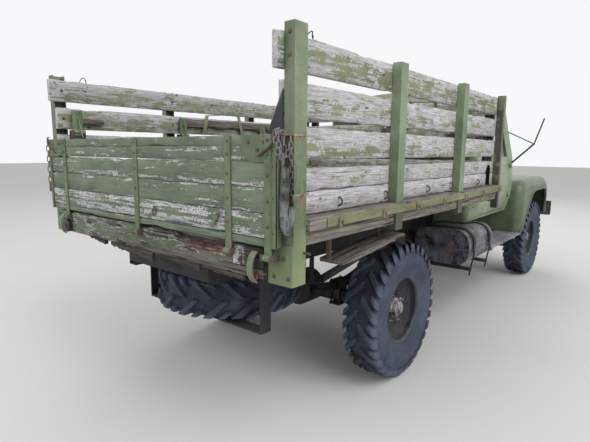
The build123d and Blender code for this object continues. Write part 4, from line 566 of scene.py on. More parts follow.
class Shape:
    # points and faces of a piece that is being made

    def __init__(self):
        self.verts, self.faces, self.layers = [], [], defaultdict(list)

    def piece(self, name, surface, node, sharp=38, replace=False, slot=None):
        # node gives the body
        mesh = bpy.data.meshes.new(name)
        mesh.from_pydata([tuple(v) for v in self.verts], [], self.faces)
        for layer, values in self.layers.items():
            vector = isinstance(values[0], tuple)
            made = mesh.attributes.new(layer, "FLOAT_VECTOR" if vector else "FLOAT", "POINT")
            flat = [part for value in values for part in value] if vector else values
            made.data.foreach_set("vector" if vector else "value", flat)
        dress(mesh, surface, sharp)
        work = bmesh.new()
        work.from_mesh(mesh)
        bmesh.ops.recalc_face_normals(work, faces=work.faces)
        work.to_mesh(mesh)
        work.free()
        return settle(bpy.data.objects.new(name, mesh), node, replace, slot)

    def moved(self, place):
        # the same shape in another place
        twin = Shape()
        twin.verts, twin.faces, twin.layers = [place @ v for v in self.verts], self.faces, self.layers
        return twin

    def join(self, base, rings, sides, wrap=False, foot=True):
        # walls between the rings of points from base on, with caps unless they meet
        for i in range(rings if wrap else rings - 1):
            a, b = base + i * sides, base + (i + 1) % rings * sides
            for k in range(sides):
                m = (k + 1) % sides
                self.faces.append((a + k, a + m, b + m, b + k))
        if foot and not wrap:
            self.faces.append(tuple(base + k for k in reversed(range(sides))))
        if not wrap:
            self.faces.append(tuple(base + (rings - 1) * sides + k for k in range(sides)))

    def ring(self, centre, across, other, radius, sides):
        for k in range(sides):
            turn = 2 * math.pi * k / sides
            self.verts.append(centre + (across * math.cos(turn) + other * math.sin(turn)) * radius)

    def tube(self, path, radius, sides=8, wrap=False):
        # a round bar along a list of points
        path = [Vector(p) for p in path]
        count, base, normal = len(path), len(self.verts), None
        for i, point in enumerate(path):
            before = path[i - 1] if i or wrap else path[0]
            after = path[(i + 1) % count] if i < count - 1 or wrap else path[-1]
            run = (after - before).normalized()
            normal = normal or run.orthogonal().normalized()
            normal = (normal - run * normal.dot(run)).normalized()
            self.ring(point, normal, run.cross(normal), radius, sides)
        self.join(base, count, sides, wrap)

    def dome(self, centre, facing, radius, height, sides=10):
        # a low round bolt head
        facing = Vector(facing).normalized()
        across = facing.orthogonal().normalized()
        base = len(self.verts)
        for share, lift in domeRings:
            self.ring(Vector(centre) + facing * height * lift, across, facing.cross(across), radius * share, sides)
        self.join(base, len(domeRings), sides, foot=False)

    def lathe(self, profile, steps):
        # a closed outline of (y, radius) turned round the y axis
        base = len(self.verts)
        for i in range(steps):
            turn = 2 * math.pi * i / steps
            self.verts += [Vector((radius * math.cos(turn), y, radius * math.sin(turn))) for y, radius in profile]
        self.join(base, steps, len(profile), wrap=True)

    def spun(self, profile, centre, facing):
        # a turned outline of (forward, radius) that faces along an axis
        base = len(self.verts)
        self.lathe(profile, 48)
        turn = Vector((0, 1, 0)).rotation_difference(Vector(facing))
        self.verts[base:] = [Vector(centre) + turn @ v for v in self.verts[base:]]

    def plank(self, low, high, along, worn=0.5, seed=0, chip=1.0, underside=None, topside=None, lowPaint=0.0):
        # a sawn board with soft, chipped edges; along is the axis its grain runs on
        wide, thin = sorted((axis for axis in range(3) if axis != along), key=lambda axis: low[axis] - high[axis])
        halfWide, halfThin = (high[wide] - low[wide]) / 2, (high[thin] - low[thin]) / 2
        soft = min(plankCut["soft"], halfThin * 0.35)
        steps = max(1, round(2 * halfWide / plankCut["across"]))
        section = [(-halfWide + soft + (2 * halfWide - 2 * soft) * i / steps, -halfThin) for i in range(steps + 1)]
        section += [(halfWide, -halfThin + soft), (halfWide, halfThin - soft)]
        section += [(-w, -t) for w, t in section]
        length = high[along] - low[along]
        stops = max(2, round(length / plankCut["along"]))
        stations = [0.0, soft] + [length * i / stops for i in range(1, stops)] + [length - soft, length]
        cut = underside or topside
        if cut:    # closer stops where the edge is cut
            fine = [length * i / plankCut["closer"] for i in range(1, plankCut["closer"])]
            stations = sorted(stations + [reach for reach in fine if cut(low[along] + reach) is not None])
        base = len(self.verts)
        offset = Vector((seed * 3.71 % 17, seed * 1.93 % 11, seed * 2.57 % 13))
        for s, reach in enumerate(stations):
            tip = s in (0, len(stations) - 1)
            for w, t in section:
                rim = 1.0 if abs(w) > halfWide - 1.5 * soft else 0.0
                probe = Vector((reach * 9 + seed * 5.3, w * 20 + seed, t * 30))
                bite = max(0.0, noise.noise(probe) - 0.22) * plankCut["chip"] * chip * rim
                inset = plankCut["rough"] * (noise.noise(probe * 3.1) + 1) + (soft if tip else 0)
                if abs(w) > 1e-6:
                    w -= math.copysign(min(bite + inset, halfWide * 0.5), w)
                t -= math.copysign(min(inset, halfThin * 0.4), t)
                spot = [0.0, 0.0, 0.0]
                spot[along] = low[along] + reach
                spot[thin] = (low[thin] + high[thin]) / 2 + t
                share = 0.5 + w / (2 * halfWide)
                foot, head = low[wide], high[wide]
                if underside:
                    foot = max(foot, underside(spot[along]) or foot)
                if topside:
                    head = min(head, topside(spot[along]) or head)
                spot[wide] = foot + share * (head - foot)
                self.verts.append(Vector(spot))
                self.layers["grain"].append(tuple(spot[axis] + off for axis, off in zip((along, wide, thin), offset)))
                wear = worn + lowPaint * (share - 0.5) + 0.28 * rim + (0.25 if tip else 0)
                self.layers["worn"].append(min(1.0, wear))
        self.join(base, len(stations), len(section))

    def block(self, low, high, soft=0.002):
        # a square bar with its edges broken
        low, high = Vector(low), Vector(high)
        middle, half = (low + high) / 2, (high - low) / 2
        soft = min(soft, min(half) * 0.45)
        signs, corners = (-1, 1), {}
        for sign in product(signs, repeat=3):
            for axis in range(3):
                corners[(*sign, axis)] = len(self.verts)
                inner = [half[i] - (0 if i == axis else soft) for i in range(3)]
                self.verts.append(middle + Vector([sign[i] * inner[i] for i in range(3)]))

        def face(spots):
            # each spot is the side it lies on and its sign along each axis
            self.faces.append(tuple(corners[(sign[0], sign[1], sign[2], side)] for side, sign in spots))

        for axis in range(3):
            a, b = [i for i in range(3) if i != axis]
            for s in signs:
                face([(axis, {axis: s, a: sa, b: sb}) for sa, sb in ((-1, -1), (1, -1), (1, 1), (-1, 1))])
                for sa in signs:    # the broken edges between this side and its neighbours
                    for other, along in ((a, b), (b, a)):
                        if other > axis:
                            ends = ((-1, axis), (1, axis), (1, other), (-1, other))
                            face([(side, {axis: s, other: sa, along: end}) for end, side in ends])
        for sign in product(signs, repeat=3):
            face([(side, sign) for side in range(3)])

    def bar(self, path, across, width, gauge, soft=0.0015):
        # a flat bar along a few points, its width held along across
        path = [Vector(p) for p in path]
        across = Vector(across)
        a, b = width / 2, gauge / 2
        soft = min(soft, a * 0.4, b * 0.4)
        section = [(-a + soft, -b), (a - soft, -b), (a, -b + soft), (a, b - soft)]
        section += [(-u, -v) for u, v in section]
        base = len(self.verts)
        for i, point in enumerate(path):
            run = (path[min(i + 1, len(path) - 1)] - path[max(i - 1, 0)]).normalized()
            wide = (across - run * across.dot(run)).normalized()
            thick = run.cross(wide)
            self.verts += [point + wide * u + thick * v for u, v in section]
        self.join(base, len(path), len(section))

    def chain(self, path, length, width, wire):
        # links of round wire along a line, every second one turned
        path = [Vector(p) for p in path]
        runs = [(a, b, (b - a).length) for a, b in zip(path, path[1:])]
        pitch = length - 2 * wire
        bend, straight = (width - wire) / 2, (length - width) / 2
        arc = [(math.sin(k * math.pi / 6), math.cos(k * math.pi / 6)) for k in range(7)]
        for i in range(int(sum(run for _, _, run in runs) / pitch)):
            reach = (i + 0.5) * pitch
            for a, b, run in runs:
                if reach <= run:
                    break
                reach -= run
            along = (b - a).normalized()
            centre = a + along * min(reach, run)
            across = along.cross(Vector((1, 0, 0)) if abs(along.x) < 0.8 else Vector((0, 1, 0))).normalized()
            across = Matrix.Rotation(math.radians(40 + 90 * (i % 2)), 3, along) @ across
            half = [along * (straight + bend * s) + across * bend * c for s, c in arc]
            self.tube([centre + spot * end for end in (1, -1) for spot in half], wire / 2, 7, wrap=True)


# timber body: boards of the sides and the headboard

bodyWork = {
    "rear": -3.200, "front": -0.090, "inner": 1.104, "outer": 1.140,
    # foot and head of each row, how worn it is outside on the right and on the left
    "rows": ((1.426, 1.536, 0.80, 0.45), (1.538, 1.648, 0.82, 0.40), (1.690, 1.842, 0.78, 0.45),
        (1.880, 2.039, 0.74, 0.55), (2.082, 2.241, 0.56, 0.58)),
    "lowPaint": (0.0, 0.1, 0.9, 0.35, 0.35),    # paint kept at the lower edge of each row
    "overhang": 0.042, "headGauge": 0.036, "play": 0.001,
    "archMiddle": -0.275, "archHalf": 0.055, "archSpring": 1.561,
    "postRears": (-3.200, -2.220, -1.170, -0.140),
    "postFronts": (-3.110, -2.130, -1.080, -0.090),
}


def archFloor(x):
    # height of the arch's edge over x, or nothing beside it
    off, half = abs(x - bodyWork["archMiddle"]), bodyWork["archHalf"]
    return bodyWork["archSpring"] + math.sqrt(half * half - off * off) if off < half else None


def buildBodyBoards():
    b = bodyWork
    boards = Shape()
    archRear, archFront = (b["archMiddle"] + sign * b["archHalf"] for sign in (-1, 1))
    for i, (foot, head, wornRight, wornLeft) in enumerate(b["rows"]):
        rear = b["rear"] - (b["overhang"] if i == 4 else 0)
        for side, worn in ((-1, wornRight), (1, wornLeft)):
            split = side < 0 and i == 0
            runs = ((rear, archRear), (archFront, b["front"])) if split else ((rear, b["front"]),)
            for n, (start, end) in enumerate(runs):
                low, high = mirrored((start, b["inner"], foot), (end, b["outer"], head), side)
                cut = archFloor if side < 0 and i == 1 else None
                seed = 11 * i + 5 * side + 3 * n + 7
                boards.plank(low, high, 0, worn, seed, underside=cut, lowPaint=b["lowPaint"][i])
        half = b["inner"] - b["play"]
        boards.plank((b["front"] - b["headGauge"], -half, foot), (b["front"], half, head), 1, 0.5, 60 + i)
    boards.piece("bodyPlanks", "sideBoardTimber", "body_boards", 50, replace=True)


buildBodyBoards()

tailgate = {
    "rear": -3.252, "front": -3.222, "half": 1.142, "foot": 1.290,
    # height and wear of each board from the bottom
    "boards": ((0.038, 0.30), (0.115, 0.78), (0.115, 0.48), (0.113, 0.50), (0.070, 0.42), (0.050, 0.30)),
    "joint": 0.002,
    "straps": (-1.095, -0.830, -0.020, 0.900),
}


def buildTailgate():
    t = tailgate
    boards, foot = Shape(), t["foot"]
    t["boltHeights"] = []
    for i, (height, worn) in enumerate(t["boards"]):
        boards.plank((t["rear"], -t["half"], foot), (t["front"], t["half"], foot + height), 1, worn, 80 + i, chip=0.7)
        t["boltHeights"].append(foot + height / 2)
        foot += height + t["joint"]
    boards.piece("tailgatePlanks", "tailgateTimber", "tailgate_boards", 50, replace=True)


buildTailgate()

ledge = {
    "inner": 1.040, "outer": 1.221, "foot": 1.360, "top": 1.420, "rear": -3.107,
    "post": (1.139, 1.202), "stringer": (1.104, 1.190, 1.290, 1.360),
}


def buildLedges():
    e, play = ledge, bodyWork["play"]
    planks = Shape()
    posts = list(zip(bodyWork["postRears"], bodyWork["postFronts"]))[1:]
    near, far = e["post"]
    inner, outer, under, over = e["stringer"]

    def lay(side, start, end, worn, seed, chip=1.0):
        planks.plank(*mirrored(start, end, side), 0, worn, seed + side, chip)

    for side in (-1, 1):
        start = e["rear"]
        lay(side, (start, e["inner"], e["foot"]), (bodyWork["front"], near - 2 * play, e["top"]), 0.75, 101)
        for n, (rear, front) in enumerate(posts):
            end = rear - play
            lay(side, (start, near + play, e["foot"]), (end, e["outer"], e["top"]), 0.72, 110 + 4 * n, 1.4)
            lay(side, (rear, far, e["foot"]), (front, e["outer"], e["top"]), 0.72, 130 + 4 * n)
            lay(side, (start, inner, under), (end, outer, over - play), 0.45, 150 + 4 * n)
            start = front + play
    planks.piece("ledgePlanks", "ledgeTimber", "ledges", 50, replace=True)


buildLedges()

bed = {
    "floorFoot": 1.360, "floorTop": 1.400, "reach": 1.037, "planks": 11, "joint": 0.003, "play": 0.0005,
    "bearerFoot": 1.260, "bearerWidth": 0.090, "extraBearers": (-2.790, -1.695, -0.630),
    "sill": (0.352, 0.430, 1.130),
}


def buildBed():
    w, foot = bodyWork, bed["bearerFoot"]
    planks, bearers = Shape(), Shape()
    pitch = (2 * bed["reach"] + bed["joint"]) / bed["planks"]
    for i in range(bed["planks"]):
        near = -bed["reach"] + i * pitch
        far = near + pitch - bed["joint"]
        planks.plank((w["rear"], near, bed["floorFoot"]), (w["front"], far, bed["floorTop"]), 0, 0.9, 170 + i)
    planks.piece("floorPlanks", "bareTimber", "bed_floor", 50, replace=True)
    top = bed["floorFoot"] - bed["play"]
    for i, (rear, front) in enumerate(zip(w["postRears"], w["postFronts"])):
        bearers.plank((rear, -w["outer"], foot), (front, w["outer"], top), 1, 0.8, 190 + i)
    for i, rear in enumerate(bed["extraBearers"]):
        bearers.plank((rear, -w["inner"], foot), (rear + bed["bearerWidth"], w["inner"], top), 1, 0.8, 200 + i)
    near, far, low = bed["sill"]
    for side in (-1, 1):
        ends = mirrored((w["rear"], near, low), (w["front"], far, foot - bed["play"]), side)
        bearers.plank(*ends, 0, 0.8, 210 + side)
    bearers.piece("bearerTimbers", "bareTimber", "bed_bearers", 50, replace=True)


buildBed()

rearBeam = {
    "rear": -3.240, "front": -3.200, "half": 1.044, "foot": 1.128, "top": 1.278,
    # the rotten stretch on the right: from, to, how deep it is eaten
    "rot": (-0.850, -0.380, 0.052),
    # hanging pieces: from, to, rear, front, lowest point at each end
    "splinters": (
        (-0.130, 0.350, -3.236, -3.212, 1.062, 1.104), (-0.560, -0.080, -3.228, -3.204, 1.084, 1.118),
        (0.430, 0.640, -3.234, -3.208, 1.096, 1.122), (-0.910, -0.600, -3.238, -3.216, 1.098, 1.112),
    ),
}


def beamTop(y):
    # height of the beam's eaten top, or nothing where it is whole
    start, end, depth = rearBeam["rot"]
    if not start < y < end:
        return None
    share = math.sin(math.pi * (y - start) / (end - start)) ** 0.5
    return rearBeam["top"] - depth * share * (0.75 + 0.5 * noise.noise(Vector((y * 22, 3.1, 0.7))))


def buildRearBeam():
    r = rearBeam
    beam, splinters = Shape(), Shape()
    low, high = (r["rear"], -r["half"], r["foot"]), (r["front"], r["half"], r["top"])
    beam.plank(low, high, 1, 0.45, 230, chip=1.8, topside=beamTop)
    beam.piece("rearBeamTimber", "rottenTimber", "rear_beam", 50, replace=True)
    for i, (start, end, rear, front, footStart, footEnd) in enumerate(r["splinters"]):
        def ragged(y):
            share = (y - start) / (end - start)
            tear = 0.010 * noise.noise(Vector((y * 30, i, 2.2))) + 0.008 * noise.noise(Vector((y * 90, i, 7.2)))
            return min(footStart + share * (footEnd - footStart) + tear, r["foot"] - 0.006)
        low, high = (rear, start, min(footStart, footEnd) - 0.020), (front, end, r["foot"] + 0.001)
        splinters.plank(low, high, 1, 1.0, 232 + i, chip=0.6, underside=ragged)
    splinters.piece("beamSplinters", "darkTimber", "rear_beam", 50)


buildRearBeam()

splash = {
    "x": (-2.714, -2.000), "y": (0.985, 1.160), "foot": (1.112, 1.175), "gauge": 0.025,
    "hangerY": (1.030, 1.060), "hangerX": (-2.714, -2.175), "hangerGauge": 0.014, "hangerTop": 1.2595,
}


def buildSplashBoards():
    s = splash
    boards, irons = Shape(), Shape()
    (rear, front), (near, far), (footRear, footFront) = s["x"], s["y"], s["foot"]
    slope = (footFront - footRear) / (front - rear)
    for side in (-1, 1):
        begin = len(boards.verts)
        boards.plank(*mirrored((rear, near, 0), (front, far, s["gauge"]), side), 0, 0.85, 240 + side, chip=1.8)
        for vert in boards.verts[begin:]:
            vert.z += footRear + slope * (vert.x - rear)
        inner, outer = s["hangerY"]
        for x in s["hangerX"]:
            foot = footRear + s["gauge"] + slope * (x - rear) - 0.004
            irons.block(*mirrored((x, inner, foot), (x + s["hangerGauge"], outer, s["hangerTop"]), side))
    boards.piece("splashPlanks", "bareTimber", "splash_boards", 50, replace=True)
    irons.piece("splashHangers", "rustySteel", "rope_hooks")


buildSplashBoards()

bench = {
    "hingeY": 1.050, "hingeZ": 1.858, "back": 1.068, "gauge": 0.028,
    # what is left of the seat boards: rear, front, foot, height, wear
    "boards": ((-3.096, -2.850, 1.921, 0.048, 0.95), (-2.120, -1.000, 1.945, 0.076, 0.92),
        (-0.960, -0.300, 1.945, 0.076, 0.92)),
    "arms": (-3.070, -2.090, -1.030, -0.340), "armWidth": 0.080, "armGauge": 0.010, "armTop": 2.022, "eye": 0.018,
    "braceHead": (1.063, 1.998), "braceFoot": (0.988, 1.816), "brace": (0.010, 0.006),
    "bolts": (1.960, 2.002), "boltSize": (0.010, 0.006),
    # folded seat legs: x and z of foot and head
    "stays": (((-1.850, 1.880), (-1.806, 2.063)), ((-1.330, 1.880), (-1.396, 2.096))),
    "stayWidth": 0.038, "stayGauge": 0.008, "tie": 0.004,
}


def buildBenches():
    b = bench
    half, face, hingeY, hingeZ = b["armWidth"] / 2, b["back"] - b["armGauge"], b["hingeY"], b["hingeZ"]
    for side, name in ((1, "left"), (-1, "right")):
        boards, arms = Shape(), Shape()
        for i, (rear, front, foot, height, worn) in enumerate(b["boards"]):
            low, high = mirrored((rear, b["back"], foot), (front, b["back"] + b["gauge"], foot + height), side)
            boards.plank(low, high, 0, worn, 260 + 3 * i + side, chip=1.6)
        for x in b["arms"]:
            arms.block(*mirrored((x - half, face, hingeZ), (x + half, b["back"], b["armTop"]), side))
            arms.tube([(x + end, side * hingeY, hingeZ) for end in (-half, half)], b["eye"], 20)
            ends = [(x, side * y, z) for y, z in (b["braceHead"], b["braceFoot"])]
            arms.bar(ends, (1, 0, 0), *b["brace"])
            for z in b["bolts"]:
                arms.dome((x, side * face, z), (0, -side, 0), *b["boltSize"])
        middle = side * (b["back"] - b["stayGauge"] / 2)
        for stay in b["stays"]:
            arms.bar([(x, middle, z) for x, z in stay], (1, 0, 0), b["stayWidth"], b["stayGauge"])
        arms.tube([(x, middle, z) for _, (x, z) in b["stays"]], b["tie"], 8)
        boards.piece("benchPlanks" + name.capitalize(), "bareTimber", "bench_" + name, 50, replace=True)
        arms.piece("benchArms" + name.capitalize(), "postPaint", "bench_" + name, replace=True, slot="green_steel")


buildBenches()
print("timber ready")


# tyres: a round carcass with long chevron lugs and short ones between them at the shoulder

tyre = {
    "lugs": 16, "lean": 47.0, "rollRadius": 0.51, "steps": 112, "lugEdge": (0.005, 0.007), "ringRadius": 0.0022,
    "between": (0.1, 0.46),    # the deep ground: half its width, least radius
    # the tread layer: dust on the walls and rings; the deep ground between the lugs and the lug feet get low values
    # and are drawn darker
    "dust": {"between": 0.05, "wall": 0.62, "ring": 0.8, "lugFoot": 0.4},
    "wallRings": ((0.436, 0.1291), (0.392, 0.1321), (0.330, 0.1166)),    # radius, reach
    # distance from the middle plane, radius
    "side": ((0.000, 0.499), (0.050, 0.4985), (0.078, 0.496), (0.098, 0.489), (0.112, 0.478), (0.122, 0.462),
        (0.129, 0.442), (0.1325, 0.420), (0.1335, 0.398), (0.131, 0.372), (0.123, 0.345), (0.113, 0.318),
        (0.106, 0.292), (0.1055, 0.276), (0.1065, 0.270), (0.1045, 0.2655), (0.098, 0.2645), (0.096, 0.251)),
    # across, height of the lug's top, of its foot, half width round the wheel, how dusty
    "longLug": ((0.005, 0.515, 0.490, 0.022, 0.20), (0.012, 0.5222, 0.490, 0.025, 0.25),
        (0.050, 0.5225, 0.490, 0.026, 0.30), (0.088, 0.5225, 0.484, 0.028, 0.35),
        (0.106, 0.5210, 0.474, 0.030, 0.55), (0.119, 0.5150, 0.462, 0.031, 0.8),
        (0.128, 0.5040, 0.452, 0.031, 1.0), (0.1335, 0.4890, 0.448, 0.029, 1.0)),
    "shortLug": ((0.078, 0.508, 0.486, 0.015, 0.25), (0.086, 0.5190, 0.484, 0.019, 0.35),
        (0.106, 0.5180, 0.474, 0.022, 0.55), (0.119, 0.5130, 0.462, 0.023, 0.8),
        (0.128, 0.5020, 0.452, 0.023, 1.0), (0.1335, 0.4870, 0.450, 0.021, 1.0)),
}
wheelCorners = {
    "rear_left": (-1.606, 1), "rear_right": (-1.606, -1),
    "front_left": (2.394, 1), "front_right": (2.394, -1),
}
wheelTrack = {"y": 0.882, "z": 0.523, "spare": (-2.494, 0.0, 0.778)}


def wheelPlace(spot):
    if spot == "spare":
        return Matrix.Translation(wheelTrack["spare"]) @ Matrix.Rotation(math.radians(90), 4, "X")
    x, side = wheelCorners[spot]
    turn = Matrix.Rotation(math.pi if side > 0 else 0.0, 4, "Z")
    return Matrix.Translation((x, side * wheelTrack["y"], wheelTrack["z"])) @ turn


def addLug(shape, sections, side, turn, lean):
    # lean carries the lug round the wheel as it runs outwards
    base, roll = len(shape.verts), tyre["rollRadius"]
    slant, drop = tyre["lugEdge"]
    for across, top, foot, half, dust in sections:
        left = ((-half - slant, foot), (-half, top - drop), (-half + slant, top))
        for u, radius in (*left, *((-u, radius) for u, radius in reversed(left))):
            angle = turn + lean * across / roll + u / roll
            shape.verts.append(Vector((radius * math.cos(angle), side * across, radius * math.sin(angle))))
            shape.layers["tread"].append(dust if radius > foot else dust * tyre["dust"]["lugFoot"])
    shape.join(base, len(sections), 6)
    # ends turned over, which keeps their edges sharp
    shape.faces[-2:] = [face[::-1] for face in shape.faces[-2:]]


def tyreShape(hand):
    shape = Shape()
    shape.lathe([(-y, radius) for y, radius in reversed(tyre["side"][1:])] + list(tyre["side"]), tyre["steps"])
    tread, dust, (across, radius) = shape.layers["tread"], tyre["dust"], tyre["between"]
    low = [abs(v.y) < across and math.hypot(v.x, v.z) > radius for v in shape.verts]
    tread += [dust["between" if deep else "wall"] for deep in low]
    lean = hand * math.tan(math.radians(tyre["lean"]))
    pitch = 2 * math.pi / tyre["lugs"]
    for side in (-1, 1):
        for i in range(tyre["lugs"]):
            turn = pitch * (i + (0.5 if side > 0 else 0))
            addLug(shape, tyre["longLug"], side, turn, lean)
            addLug(shape, tyre["shortLug"], side, turn + pitch * 0.5, lean)
    for side, (radius, reach) in product((-1, 1), tyre["wallRings"]):
        turns = [t * math.pi / 48 for t in range(96)]
        ring = [(radius * math.cos(turn), side * reach, radius * math.sin(turn)) for turn in turns]
        shape.tube(ring, tyre["ringRadius"], 6, wrap=True)
        tread += [dust["ring"]] * (len(shape.verts) - len(tread))
    return shape


def buildTyres():
    handed = {hand: tyreShape(hand) for hand in (1, -1)}
    for spot in (*wheelCorners, "spare"):
        shape = handed[-1 if spot.endswith("left") else 1].moved(wheelPlace(spot))
        shape.piece("tread_" + spot, "dustyRubber", "tyre_" + spot, 34, replace=True)


buildTyres()

wheel = {
    # outlines of distance from the middle plane (outboard is negative) and radius
    "rim": ((-0.078, 0.2418), (-0.083, 0.2390), (-0.089, 0.2390), (-0.094, 0.2418), (-0.100, 0.2450),
        (-0.1052, 0.2520), (-0.1058, 0.2600), (-0.1035, 0.2655), (-0.0990, 0.2650), (-0.0975, 0.2560),
        (-0.0965, 0.2490), (0.0965, 0.2490), (0.0975, 0.2560), (0.0990, 0.2650), (0.1035, 0.2655),
        (0.1058, 0.2600), (0.1052, 0.2520), (0.0940, 0.2418)),
    "disc": ((-0.056, 0.2425), (-0.0520, 0.2380), (-0.0230, 0.1590), (-0.0185, 0.1470), (-0.0178, 0.1400),
        (-0.0178, 0.0010), (-0.0100, 0.0010), (-0.0100, 0.1400), (-0.0110, 0.1520), (-0.0440, 0.2360),
        (-0.0420, 0.2425)),
    "hub": ((-0.016, 0.0300), (-0.016, 0.0780), (-0.030, 0.0775), (-0.034, 0.0640), (-0.060, 0.0620),
        (-0.063, 0.0560), (-0.0700, 0.0540), (-0.0775, 0.0440), (-0.0775, 0.0150), (-0.0700, 0.0120),
        (-0.0700, 0.0010), (-0.0160, 0.0010)),
    "drum": ((-0.009, 0.0450), (-0.009, 0.2040), (0.094, 0.2045), (0.094, 0.1930), (0.006, 0.1920), (0.006, 0.0450)),
    "steps": {"rim": 96, "disc": 96, "hub": 48, "drum": 64},
    "nutFoot": -0.0175, "nut": (0.0175, 0.017), "studEnds": (-0.030, -0.046), "studRadius": 0.0080,
    "hubBoltFoot": -0.0300, "hubBolt": (0.0058, 0.007),
    "studs": 8, "studRing": 0.112, "hubBolts": 10, "hubBoltRing": 0.070,
}


def buildWheels():
    rim, disc, nuts, hub, drum = (Shape() for _ in range(5))
    for name, shape in (("rim", rim), ("disc", disc), ("hub", hub), ("drum", drum)):
        shape.lathe(wheel[name], wheel["steps"][name])
    outward = (0, -1, 0)
    for i in range(wheel["studs"]):
        turn = 2 * math.pi * (i + 0.5) / wheel["studs"]
        x, z = wheel["studRing"] * math.cos(turn), wheel["studRing"] * math.sin(turn)
        nuts.dome((x, wheel["nutFoot"], z), outward, *wheel["nut"], 6)
        nuts.tube([(x, y, z) for y in wheel["studEnds"]], wheel["studRadius"], 8)
    for i in range(wheel["hubBolts"]):
        turn = 2 * math.pi * i / wheel["hubBolts"]
        x, z = wheel["hubBoltRing"] * math.cos(turn), wheel["hubBoltRing"] * math.sin(turn)
        hub.dome((x, wheel["hubBoltFoot"], z), outward, *wheel["hubBolt"], 6)
    parts = (
        ("rim_", rim, "rimGreyHighlight"), ("disc_", disc, "wheelPaint"), ("nuts_", nuts, "flakedWhite"),
        ("hub_", hub, "flakedWhite"), ("drum_", drum, "chassisBlack"),
    )
    for spot in (*wheelCorners, "spare"):
        place = wheelPlace(spot)
        for name, shape, surface in parts[:3] if spot == "spare" else parts:    # the spare has no hub
            shape.moved(place).piece(name + spot, surface, "wheel_" + spot, 30, replace=True)


buildWheels()
print("wheels ready")


# steel that keeps the cad form and gets rolled edges: node, finish, edge radius

steelNodes = (
    ("cab_shell", "cabPaint", 0.006), ("door_left", "cabPaint", 0.004), ("door_right", "cabPaint", 0.004),
    ("bonnet", "cabPaint", 0.006), ("wings", "wingShadedPaint", 0.004), ("grille", "cabPaint", 0.003),
    ("posts", "postPaint", 0.002), ("rope_rails", "railPaint", 0.0015), ("tailgate_straps", "strapPaint", 0.0012),
    ("lamp_guards", "guardPaint", 0.0015), ("hinge_lugs", "rustySteel", 0.0012), ("tow_hooks", "chassisBlack", 0.002),
    ("frame", "chassisBlack", 0.002), ("springs", "chassisBlack", 0.0015), ("spare_carrier", "chassisBlack", 0.002),
    ("axle_front", "chassisBlack", 0.003), ("axle_rear", "chassisBlack", 0.003), ("bumper", "hoopBlack", 0.004),
    ("knuckle_left", "chassisBlack", 0.002), ("knuckle_right", "chassisBlack", 0.002),
        ("tie_rod", "chassisBlack", 0.001),
    ("fuel_tanks", "tankBlack", 0.002), ("tank_straps", "chassisBlack", 0.0015), ("step_boards", "stepSteel", 0.0015),
    ("transfer_case", "engineIron", 0.004), ("engine", "engineIron", 0.006), ("radiator", "chassisBlack", 0.003),
    ("exhaust", "rustySteel", 0.001), ("mirror_arms", "cabTrim", 0.001), ("dashboard", "cabTrim", 0.006),
    ("steering_wheel", "cabTrim", 0.0), ("rope_hooks", "rustySteel", 0.0),
)
for node, surface, width in steelNodes:
    softenNode(node, surface, width)
for node in ("cab_glass", "door_glass_left", "door_glass_right"):
    materials = frame["nodes"][node].data.materials
    materials.clear()
    materials.append(surfaces["dustyGlass"])
print("steel and glass ready")


# rear corners: chains from the collar tabs, their canvas sleeve, the corner hooks

rearCorner = {
    "tabX": -3.231, "leftY": 1.165, "outsideY": 1.226, "top": 1.7927,
    "link": (0.054, 0.030, 0.0075), "smallLink": (0.036, 0.022, 0.0052),
    "leftFoot": 1.4807, "rightFoot": 1.6600,
    "strand": ((-3.222, -1.196, 1.792), (-3.219, -1.204, 1.66), (-3.214, -1.2065, 1.50)),
    "loops": (
        ((-3.236, -1.158, 1.794), (-3.250, -1.150, 1.822), (-3.264, -1.1490, 1.818), (-3.268, -1.151, 1.770),
            (-3.262, -1.160, 1.722), (-3.246, -1.172, 1.692), (-3.230, -1.188, 1.712), (-3.224, -1.195, 1.760)),
        ((-3.230, -1.170, 1.794), (-3.240, -1.162, 1.812), (-3.256, -1.158, 1.806), (-3.258, -1.160, 1.752),
            (-3.248, -1.166, 1.702), (-3.238, -1.174, 1.664)),
    ),
    "hook": ((-3.262, -1.036, 1.706), (-3.265, -1.070, 1.722), (-3.266, -1.108, 1.744), (-3.2665, -1.128, 1.762),
        (-3.2670, -1.137, 1.786), (-3.2655, -1.139, 1.806), (-3.258, -1.138, 1.818)),
    "hookRadius": 0.0056, "rodRadius": 0.0052,
    "tail": (0.026, 0.014, 0.004),    # width, gauge and soft edge of the left chain's end
}


def buildChains():
    c = rearCorner
    left, right = Shape(), Shape()
    top, x, y, foot = c["top"], c["tabX"], c["outsideY"], c["leftFoot"]
    rod = ((x, c["leftY"], top + 0.004), (x, y - 0.004, top + 0.006), (x, y + 0.008, top + 0.010))
    left.tube(rod, c["rodRadius"], 8)
    left.chain(((x, y, top), (x, y, foot)), *c["link"])
    tail = ((x, y, foot + 0.004), (x, y, foot - 0.020), (x, y + 0.003, foot - 0.074))
    left.bar(tail, (0, 1, 0), *c["tail"])
    right.chain([(x, -c["leftY"], z) for z in (top, c["rightFoot"])], *c["link"])
    for line in (c["strand"], *c["loops"]):
        right.chain(line, *c["smallLink"])
    for name, shape in (("chainLeft", left), ("chainRight", right)):
        shape.piece(name, "chainSteel", "chains", 60, replace=True)


buildChains()

